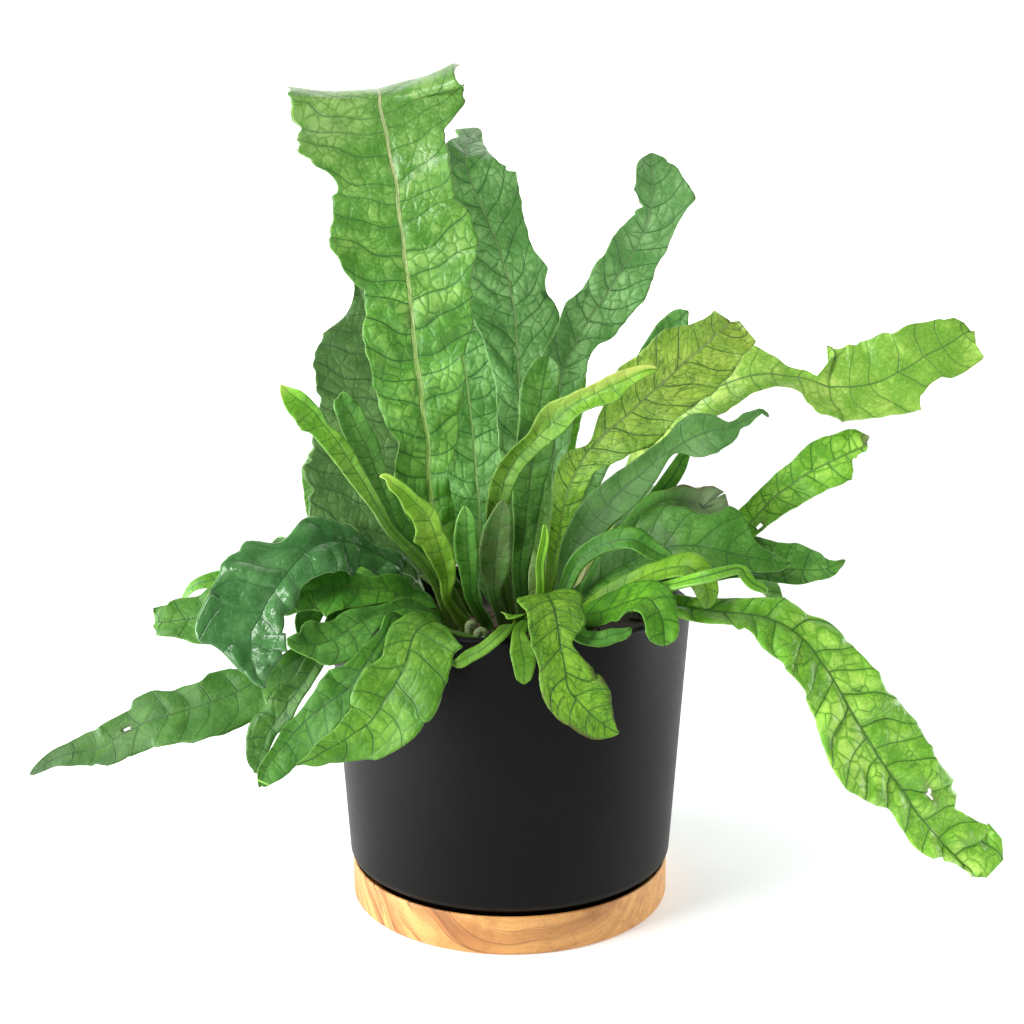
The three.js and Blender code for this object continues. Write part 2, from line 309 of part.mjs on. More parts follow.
    rows: [[-40, 50, 165, 5, 5], [-58, 72, 195, 12, 12], [-78, 100, 212, 17, 17],
      [-98, 130, 212, 18, 18], [-114, 158, 196, 14, 14], [-124, 180, 172, 8, 8],
      [-128, 192, 154, 2, 2]] },
  { name: 'frond_back_arch_right', tone: 'mid', cup: 0.12, ruffle: 2, root: [32, 34],
    face: [[-0.6, -0.8, 0.2], [0.4, 0.4, 1], [0.2, 0.3, 1], [0.5, 0.7, 0.6]],
    rows: [[44, 50, 160, 5, 5], [62, 72, 180, 12, 12], [82, 100, 188, 16, 16], [100, 130, 182, 16, 16],
      [114, 156, 168, 12, 12], [122, 176, 150, 7, 7], [125, 186, 136, 2, 2]] },
  { name: 'frond_back_middle', tone: 'bright', cup: 0.12, ruffle: 2, root: [5, 48],
    face: [[-0.1, -1, 0.2], [0, 0.4, 1], [0, 0.3, 1], [0, 0.8, 0.5]],
    rows: [[6, 60, 160, 5, 5], [10, 84, 182, 12, 12], [14, 112, 190, 16, 16], [18, 142, 184, 16, 16],
      [22, 170, 166, 12, 12], [24, 190, 142, 7, 7], [25, 200, 124, 2, 2]] },
  { name: 'frond_back_low_left', tone: 'fresh', cup: 0.12, ruffle: 2, root: [-18, 48],
    face: [[0.5, -0.9, 0.2], [0, 0.4, 1], [-0.2, 0.4, 1], [-0.4, 0.8, 0.4]],
    rows: [[-26, 62, 154, 5, 5], [-42, 88, 162, 11, 11], [-60, 116, 158, 14, 14],
      [-76, 142, 142, 12, 12], [-88, 164, 118, 8, 8], [-94, 178, 94, 2, 2]] },
  { name: 'frond_back_low_right', tone: 'mid', cup: 0.12, ruffle: 2, root: [20, 46],
    face: [[-0.4, -0.9, 0.2], [0, 0.4, 1], [0.2, 0.4, 1], [0.4, 0.8, 0.4]],
    rows: [[26, 62, 154, 5, 5], [40, 88, 164, 10, 10], [56, 116, 161, 14, 14], [70, 142, 147, 13, 13],
      [82, 164, 123, 8, 8], [88, 176, 101, 2, 2]] },
  { name: 'frond_back_side_left', tone: 'mid', cup: 0.12, ruffle: 2, root: [-43, 24],
    face: [[0.9, -0.4, 0.2], [-0.4, 0.2, 1], [-0.3, 0.2, 1], [-0.8, 0.5, 0.4]],
    rows: [[-65, 29, 154, 5, 5], [-89, 42, 166, 11, 11], [-112, 64, 166, 15, 15],
      [-134, 78, 152, 13, 13], [-150, 88, 130, 8, 8], [-158, 94, 108, 2, 2]] },
  { name: 'frond_back_side_right', tone: 'fresh', cup: 0.12, ruffle: 2, root: [47, 20],
    face: [[-0.8, -0.6, 0.2], [0.4, 0.2, 1], [0.3, 0.2, 1], [0.8, 0.5, 0.4]],
    rows: [[62, 32, 156, 5, 5], [86, 46, 165, 10, 10], [112, 60, 162, 13, 13], [134, 72, 146, 11, 11],
      [150, 80, 124, 7, 7], [157, 84, 104, 2, 2]] },
  { name: 'frond_back_upright', tone: 'bright', cup: 0.12, ruffle: 2, root: [14, 36],
    face: [[0, -1, 0.2], [0, -0.7, 0.7], [0, 0.3, 1]],
    rows: [[18, 46, 170, 4, 4], [22, 58, 205, 10, 10], [27, 72, 238, 13, 13], [31, 90, 262, 12, 12],
      [33, 108, 274, 8, 8], [34, 120, 276, 2, 2]] },
];

const wasm = await Module();
wasm.setup();

function material(colour, roughness, metalness = 0) {
  return new THREE.MeshStandardMaterial({ color: colour, roughness, metalness });
}

function namedMesh(name, geometry, finish) {
  const mesh = new THREE.Mesh(geometry, finish);
  mesh.name = name;
  return mesh;
}

// Solids for joining and cutting

function toSolid(geometry) {
  const bare = geometry.clone();
  bare.deleteAttribute('normal');
  bare.deleteAttribute('uv');
  const merged = mergeVertices(bare, 1e-4);
  return new wasm.Manifold(new wasm.Mesh({
    numProp: 3,
    vertProperties: new Float32Array(merged.attributes.position.array),
    triVerts: new Uint32Array(merged.index.array),
  }));
}

function toGeometry(solid) {
  const mesh = solid.getMesh();
  const geometry = new THREE.BufferGeometry();
  geometry.setAttribute('position', new THREE.BufferAttribute(new Float32Array(mesh.vertProperties), 3));
  geometry.setIndex(new THREE.BufferAttribute(new Uint32Array(mesh.triVerts), 1));
  geometry.computeVertexNormals();
  return geometry;
}

// A profile of [radius, height] points, turned round the vertical axis
function turned(profile) {
  const points = profile.map(([radius, height]) => new THREE.Vector2(radius, height));
  const geometry = new THREE.LatheGeometry(points, ROUND_SIDES);
  geometry.rotateX(Math.PI / 2);
  return geometry;
}

// Points of a quarter round, from the angle start to the angle end in degrees
function arc(radius, height, size, start, end, steps) {
  const points = [];
  for (let i = 0; i <= steps; i += 1) {
    const angle = THREE.MathUtils.degToRad(start + (end - start) * i / steps);
    points.push([radius + size * Math.cos(angle), height + size * Math.sin(angle)]);
  }
  return points;
}

// Pot: a tapered cup with a rounded lower edge and a drain hole, open at the top
function pot() {
  const shoulder = POT_BOTTOM + POT_FOOT_HEIGHT;
  const round = POT_SHOULDER_ROUND;
  const lip = POT_WALL / 2;
  const innerFoot = POT_SHOULDER_RADIUS - POT_WALL;
  const floorTop = POT_BOTTOM + POT_FLOOR;
  const profile = [
    [DRAIN_RADIUS, POT_BOTTOM],
    [POT_FOOT_RADIUS, POT_BOTTOM],
    [POT_FOOT_RADIUS, shoulder],
    ...arc(POT_SHOULDER_RADIUS - round, shoulder + round, round, -90, 0, 3),
    ...arc(RIM_RADIUS - lip, POT_TOP - lip, lip, 0, 180, 4),
    [innerFoot, floorTop + POT_WALL],
    [innerFoot - POT_WALL, floorTop],
    [DRAIN_RADIUS, floorTop],
    [DRAIN_RADIUS, POT_BOTTOM],
  ];
  return namedMesh('pot', turned(profile), material(COLOURS.ceramic, 0.55));
}

// Saucer: a thick turned disc with a shallow recess, in which the pot stands
function saucer() {
  const recess = SAUCER_HEIGHT - SAUCER_RECESS_DEPTH;
  const profile = [
    [0, 0],
    ...arc(SAUCER_RADIUS - SAUCER_EDGE, SAUCER_EDGE, SAUCER_EDGE, -90, 0, 2),
    ...arc(SAUCER_RADIUS - SAUCER_EDGE, SAUCER_HEIGHT - SAUCER_EDGE, SAUCER_EDGE, 0, 90, 3),
    [SAUCER_RECESS_RADIUS, SAUCER_HEIGHT],
    [SAUCER_RECESS_RADIUS - 1, recess],
    [0, recess],
  ];
  return namedMesh('saucer', turned(profile), material(COLOURS.wood, 0.6));
}

function potInnerRadius(height) {
  const low = POT_BOTTOM + POT_FLOOR + POT_WALL;
  const share = (height - low) / (POT_TOP - POT_WALL / 2 - low);
  const foot = POT_SHOULDER_RADIUS - POT_WALL;
  return foot + (RIM_RADIUS - POT_WALL - foot) * share;
}

// Outline of the rhizome mat: lobes where the rhizomes creep outwards
function matRadius(angle) {
  return MAT_LOBES.reduce((radius, lobe) => (
    radius + lobe.depth * Math.sin(lobe.count * angle + lobe.turn)
  ), MAT_RADIUS);
}

function matBlock(grow, bottom, top) {
  const shape = new THREE.Shape();
  for (let i = 0; i < MAT_SIDES; i += 1) {
    const angle = 2 * Math.PI * i / MAT_SIDES;
    const radius = matRadius(angle) + grow;
    const [x, y] = [radius * Math.cos(angle), radius * Math.sin(angle)];
    if (i === 0) shape.moveTo(x, y);
    else shape.lineTo(x, y);
  }
  shape.closePath();
  const geometry = new THREE.ExtrudeGeometry(shape, { depth: top - bottom, bevelEnabled: false });
  geometry.translate(0, 0, bottom);
  return toSolid(geometry);
}

// Plain upright hole for one stipe
function stipeHole([x, y]) {
  const bottom = STIPE_FOOT - GAP;
  const height = STIPE_COLLAR - bottom;
  const radius = STIPE_HOLE_RADIUS;
  const geometry = new THREE.CylinderGeometry(radius, radius, height, STIPE_HOLE_SIDES);
  geometry.rotateX(Math.PI / 2);
  geometry.translate(x, y, bottom + height / 2);
  return toSolid(geometry);
}

function rhizomeMat() {
  let solid = matBlock(0, MAT_FLOOR, MAT_TOP);
  for (const frond of FRONDS) solid = solid.subtract(stipeHole(frond.root));
  return namedMesh('rhizome_mat', toGeometry(solid), material(COLOURS.rhizome, 0.95));
}

// Soil: fills the pot, slightly higher at the wall, with the mat bedded in its top
function soil() {
  const bottom = POT_BOTTOM + POT_FLOOR + GAP;
  const bend = bottom + POT_WALL;
  const profile = [
    [0, bottom],
    [potInnerRadius(bend) - POT_WALL - 1, bottom],
    [potInnerRadius(bend) - GAP, bend],
    [potInnerRadius(SOIL_TOP) - GAP, SOIL_TOP],
    [potInnerRadius(SOIL_TOP) - MAT_BED_SLOPE, SOIL_TOP - SOIL_DIP],
    [0, SOIL_TOP - SOIL_DIP],
  ];
  const filling = toSolid(turned(profile));
  const bed = matBlock(GAP, MAT_FLOOR - GAP, MAT_TOP);
  return namedMesh('soil', toGeometry(filling.subtract(bed)), material(COLOURS.soil, 1));
}

// Fronds

function faceAt(face, share) {
  const place = share * (face.length - 1);
  const index = Math.min(Math.floor(place), face.length - 2);
  const from = new THREE.Vector3(...face[index]);
  return from.lerp(new THREE.Vector3(...face[index + 1]), place - index).normalize();
}

// 1 up to start, 0 from end on
function fade(value, start, end) {
  return THREE.MathUtils.clamp((end - value) / (end - start), 0, 1);
}

// The midrib as a smooth curve, and the widths as another on the same steps
function frondCurves(frond) {
  const [x, y] = frond.root;
  const foot = [STIPE_FOOT, STIPE_COLLAR].map((z) => [x, y, z, STIPE_WIDTH, STIPE_WIDTH]);
  const rows = foot.concat(frond.rows);
  const places = rows.map((row) => new THREE.Vector3(row[0], row[1], row[2]));
  const sizes = rows.map((row) => new THREE.Vector3(row[3], row[4], 0));
  return {
    rows,
    midrib: new THREE.CatmullRomCurve3(places, false, 'catmullrom', 0.5),
    widths: new THREE.CatmullRomCurve3(sizes, false, 'catmullrom', 0.5),
  };
}

function stepLength(rows, i) {
  return new THREE.Vector3(...rows[i]).distanceTo(new THREE.Vector3(...rows[i + 1]));
}

// How far along the rows a place lies, in mm
function lengthTo(rows, place) {
  let length = 0;
  for (let i = 0; i < rows.length - 1; i += 1) {
    length += stepLength(rows, i) * THREE.MathUtils.clamp(place - i, 0, 1);
  }
  return length;
}

// Where the blade is cut across: every row, and between rows where they lie far apart
function stations(rows) {
  const places = [0];
  for (let i = 0; i < rows.length - 1; i += 1) {
    const step = stepLength(rows, i);
    const wide = rows[i][3] + rows[i + 1][4] > WIDE_BLADE;
    const parts = Math.max(1, Math.round(step / (wide ? WIDE_SPACING : NARROW_SPACING)));
    for (let k = 1; k <= parts; k += 1) places.push(i + k / parts);
  }
  return places;
}

// One blade: a thin arched strip with a thicker midrib, quilted cells and waved edges, closed all round
function frondGeometry(frond) {
  const { rows, midrib, widths } = frondCurves(frond);
  const last = rows.length - 1;
  const places = stations(rows);
  const upper = [];
  const lower = [];
  places.forEach((place, index) => {
    const share = place / last;
    const length = lengthTo(rows, place);
    const middle = midrib.getPoint(share);
    const along = midrib.getTangent(share);
    const right = along.clone().cross(faceAt(frond.face, share)).normalize();
    const up = right.clone().cross(along).normalize();
    const size = widths.getPoint(share);
    const half = [Math.max(size.x, SMALLEST_HALF_WIDTH), Math.max(size.y, SMALLEST_HALF_WIDTH)];
    const narrow = fade(half[0] + half[1], STIPE_UP_TO, BLADE_FROM);
    const stout = narrow * fade(share, STIPE_FADE.start, STIPE_FADE.end);
    for (const side of ACROSS) {
      const reach = side < 0 ? half[0] : half[1];
      const edge = Math.abs(side);
      const turn = 2 * Math.PI * length / WAVE_LENGTH + (side < 0 ? WAVE_START.left : WAVE_START.right);
      const wave = Math.sin(turn) * frond.ruffle * edge * edge;
      const cell = edge === 0.5 ? QUILTING * (index % 2 ? 1 : -1) : 0;
      const lift = frond.cup * reach * edge * edge + (wave + cell) * (1 - narrow);
      const part = edge === 0 ? 'middle' : edge === 0.5 ? 'half' : 'edge';
      const thickness = LEAF_THICKNESS[part] + STIPE_THICKENING[part] * stout;
      const point = middle.clone().addScaledVector(right, side * reach).addScaledVector(up, lift);
      upper.push(point.clone().addScaledVector(up, thickness / 2));
      lower.push(point.clone().addScaledVector(up, -thickness / 2));
    }
  });
  return closedStrip(upper, lower, ACROSS.length);
}

// Joins an upper and a lower sheet of the same points, split into triangles alike, into one closed body
function closedStrip(upper, lower, columns) {
  const rows = upper.length / columns;
  const below = upper.length;
  const faces = [];
  for (let j = 0; j < rows - 1; j += 1) {
    for (let k = 0; k < columns - 1; k += 1) {
      const a = j * columns + k;
      const [b, c, d] = [a + 1, a + columns + 1, a + columns];
      faces.push([a, b, c], [a, c, d], [below + c, below + b, below + a], [below + d, below + c, below + a]);
    }
    const left = j * columns;
    const right = left + columns - 1;
    faces.push([left, left + columns, below + left + columns], [left, below + left + columns, below + left]);
    faces.push([right, below + right + columns, right + columns]);
    faces.push([right, below + right, below + right + columns]);
  }
  const tip = (rows - 1) * columns;
  for (let k = 0; k < columns - 1; k += 1) {
    faces.push([k, below + k, below + k + 1], [k, below + k + 1, k + 1]);
    faces.push([tip + k, below + tip + k + 1, below + tip + k], [tip + k, tip + k + 1, below + tip + k + 1]);
  }
  const geometry = new THREE.BufferGeometry().setFromPoints([...upper, ...lower]);
  geometry.setIndex(faces.flat());
  geometry.computeVertexNormals();
  return geometry;
}

function frondMesh(frond) {
  return namedMesh(frond.name, frondGeometry(frond), material(COLOURS[frond.tone], 0.4));
}

const part = new THREE.Group();
part.add(saucer(), pot(), soil(), rhizomeMat());
for (const frond of FRONDS) part.add(frondMesh(frond));

export default part;
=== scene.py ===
"""Looks of a potted crocodile fern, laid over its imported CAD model.

Metres, +Z up. The front looks along -Y, and the saucer stands on z = 0.
"""
import math
import random

import bmesh
import bpy
import numpy as np
from bpy.props import FloatProperty, FloatVectorProperty, IntProperty, PointerProperty
from mathutils import Matrix, Vector, noise


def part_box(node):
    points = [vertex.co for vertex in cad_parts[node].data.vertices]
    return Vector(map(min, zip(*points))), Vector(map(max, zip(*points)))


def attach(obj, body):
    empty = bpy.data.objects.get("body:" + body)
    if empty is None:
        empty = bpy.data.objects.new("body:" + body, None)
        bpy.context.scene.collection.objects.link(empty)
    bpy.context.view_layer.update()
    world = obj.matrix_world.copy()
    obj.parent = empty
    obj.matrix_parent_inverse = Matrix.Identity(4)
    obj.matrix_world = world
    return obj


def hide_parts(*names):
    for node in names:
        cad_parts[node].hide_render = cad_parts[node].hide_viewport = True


bl_info = {
    "name": "Potted Crocodile Fern",
    "version": (1, 0, 0),
    "blender": (4, 5, 0),
    "location": "3D View > Sidebar > Fern",
    "description": "A crocodile fern in a matte dark pot on a turned wooden saucer",
    "category": "Object",
}

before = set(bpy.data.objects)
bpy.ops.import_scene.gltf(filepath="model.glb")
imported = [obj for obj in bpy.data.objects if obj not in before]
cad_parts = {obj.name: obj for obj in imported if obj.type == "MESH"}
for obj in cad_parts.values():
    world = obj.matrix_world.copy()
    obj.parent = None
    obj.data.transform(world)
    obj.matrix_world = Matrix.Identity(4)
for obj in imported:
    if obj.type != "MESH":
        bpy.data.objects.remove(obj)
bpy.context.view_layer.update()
BODY = "root"
MM = 0.001

# Fronds, in millimetres, with the stem as in the CAD model
STIPE_FOOT = 128
STIPE_COLLAR = 137
STIPE_WIDTH = 3
STIPE_UP_TO = 5
BLADE_FROM = 10
STIPE_FADE = (0.22, 0.62)
STEM_THICKNESS = 2.2
RIDGE_THICKNESS = 0.9
RIDGE_WIDTH = 1.5
GROOVE_WIDTH = 1.4
FLAT_BESIDE_MIDRIB = 2.4
VEIN_SPACING_PER_WIDTH = 0.27
MOST_VEIN_SPACING = 12.0
SWAY_LENGTH = 41
WAVE_LENGTH = 48
WAVE_START = (0.7, 2.3)
SHORT_WAVE = 23
CORNER_LENGTH = 25
CLEFT_LENGTH = 18
SHADE_SPREAD = 32
THICKNESS_STEPS = 40
# Waves of a blade's outline: the length of each, and its height as a share of the half width
RIPPLES = ((27, 0.018), (12.3, 0.014), (6.7, 0.01))
# Shares that set neighbouring rows of cells apart
ROW_SHIFT = 0.618
ROW_STRETCH = 0.381

# Pot, saucer and soil, in millimetres, as in the CAD model
POT_WALL = 5
POT_FOOT_RADIUS = 72.8
POT_FOOT_HEIGHT = 6
POT_FOOT_ROUND = 0.6
POT_SHOULDER_RADIUS = 80.6
POT_SHOULDER_ROUND = 5
POT_FLOOR = 6
DRAIN_RADIUS = 7
SAUCER_RECESS_RADIUS = 78
SAUCER_RECESS_DEPTH = 5
SAUCER_RECESS_ROUND = 0.7
SAUCER_EDGE = 1.0
SHARP_ANGLE = math.radians(50)
SOIL_TOP = 133
SOIL_DIP = 1.5
SOIL_STEPS = 110
CRUMB_SIZES = (0.8, 2.4)
RHIZOME_HEIGHT = 131.5
RHIZOME_THICKNESS = 4.2
CROZIER_FOOT = 130
CROZIER_THICKNESS = 2.0
# The coiled young fronds: place, height of the stalk, size of the coil and its turns
CROZIERS = ((-15.0, -43.0, 9.0, 2.0, 1.4), (-19.0, -39.0, 12.0, 1.4, 1.2))
SCRAP_PLACE = (-22, -44, 134)
SCRAP_HALF = (6, 2.6)
SCRAP_THICKNESS = 0.5

# Noises of the leaves: scale for a metre, detail and roughness
PATCHES = (26.0, 3.0, 0.55)
CLOUDS = (90.0, 3.0, 0.6)
BLOTCHES = (160.0, 4.0, 0.6)
FINE_GRAIN = (700.0, 3.0, 0.65)
SPECKS = (1500.0, 1.0)

# The stage, in metres. The camera's place comes from the photo's outlines.
CAMERA_PLACE = (0.00107, -0.5973, 0.2753)
LIGHTS_LOOK_AT = (0, 0, 0.2)
LIGHTS = {
    "key": ((-0.95, -0.65, 1.15), (0.6, 0.6)),
    "left": ((-0.93, -0.28, 0.2), (1.3, 0.4)),
    "right": ((1.1, 0.12, 0.2), (0.9, 0.4)),
    "top": ((0.1, 0.35, 1.35), (1.2, 1.2)),
}

LEAF_COLOURS = {
    # Material slot, dark, cell, light (partly painted sheen), vein, midrib, darkness of the fine net and
    # roughness
    "fresh": ("leaf_mid", (0.045, 0.20, 0.012), (0.095, 0.31, 0.026), (0.27, 0.53, 0.09),
              (0.018, 0.09, 0.008), (0.05, 0.16, 0.02), 0.25, 0.37),
    "mid": ("leaf_mid", (0.04, 0.17, 0.012), (0.08, 0.26, 0.026), (0.19, 0.41, 0.075),
            (0.016, 0.08, 0.008), (0.05, 0.15, 0.02), 0.25, 0.38),
    "bright": ("leaf_bright", (0.065, 0.24, 0.010), (0.13, 0.37, 0.020), (0.34, 0.62, 0.075),
               (0.022, 0.10, 0.008), (0.05, 0.15, 0.018), 0.25, 0.37),
    "lime": ("leaf_yellow", (0.12, 0.33, 0.010), (0.21, 0.45, 0.022), (0.42, 0.66, 0.09),
             (0.05, 0.16, 0.010), (0.10, 0.24, 0.025), 0.35, 0.40),
    "net": ("leaf_net", (0.10, 0.25, 0.012), (0.18, 0.36, 0.022), (0.33, 0.53, 0.06),
            (0.028, 0.085, 0.010), (0.05, 0.13, 0.018), 0.8, 0.42),
    "deep": ("leaf_deep", (0.05, 0.18, 0.024), (0.09, 0.26, 0.045), (0.20, 0.42, 0.11),
             (0.018, 0.08, 0.012), (0.07, 0.18, 0.04), 0.22, 0.40),
    "glossy": ("leaf_deep", (0.02, 0.10, 0.014), (0.042, 0.155, 0.026), (0.10, 0.25, 0.07),
               (0.012, 0.055, 0.010), (0.02, 0.075, 0.013), 0.2, 0.22),
    "dusk": ("leaf_dusk", (0.04, 0.13, 0.016), (0.07, 0.19, 0.028), (0.13, 0.29, 0.06),
             (0.016, 0.06, 0.010), (0.05, 0.13, 0.025), 0.35, 0.40),
}

# The fronds, in millimetres. Each row is a point of the midrib and the blade's width there to its left and
# right. root is where its stem leaves the mat, and face is where its upper side looks, in even steps from
# root to tip. A frond has the values of USUAL where its entry says nothing. Shares of its length count from
# the root, and the pairs of tint and cool are the values at the root and at the tip.
USUAL = dict(
    cup=0.12,  # lift of the edges, as a share of the half width
    ruffle=2,  # height of the waves along the edges
    puff=1.0,  # scale of the puckers
    smooth_from=2.0,  # share of the length from which they fade
    tip=None,  # length of the rounding at the tip
    corners=(0, 0),  # how far the tip's left and right side stand forward
    cleft=0,  # depth of a split in the tip
    nicks=(),  # (place along, side, step outward, half length), with side -1 for left and 1 for right
    holes=(),  # (place along, offset, half length, half width, slant)
    sweep=0.2,  # lean of the side veins to the tip
    veins=1.0,  # how clear the veins are
    rib=1.0,  # scale of the midrib's strip
    pale=0.0,  # how light it is
    # tint is partly the frond's own tone and partly painted shade, darker for fronds deep in the plant
    tint=(1, 1),  # brightness
    # and below 0 its deeper, warmer green is also painted shade
    # cool is partly the frond's own hue: above 0 its paler, bluer colour is also painted sheen,
    cool=(0, 0),  # cooler and shinier above 0, warmer and duller below
    stain=0.0,  # browning
    stain_from=1.0,  # share of the length from which it shows
    edge=0.0,  # browning of the margins
    yellow=0.0,  # yellowing
    yellow_from=1.0,  # share of the length from which it shows
    yellow_side=0,  # the side that it keeps to, or 0 for both
    grey=0.0,  # greying
    grey_from=-0.3,  # share of the length from which it grows
)
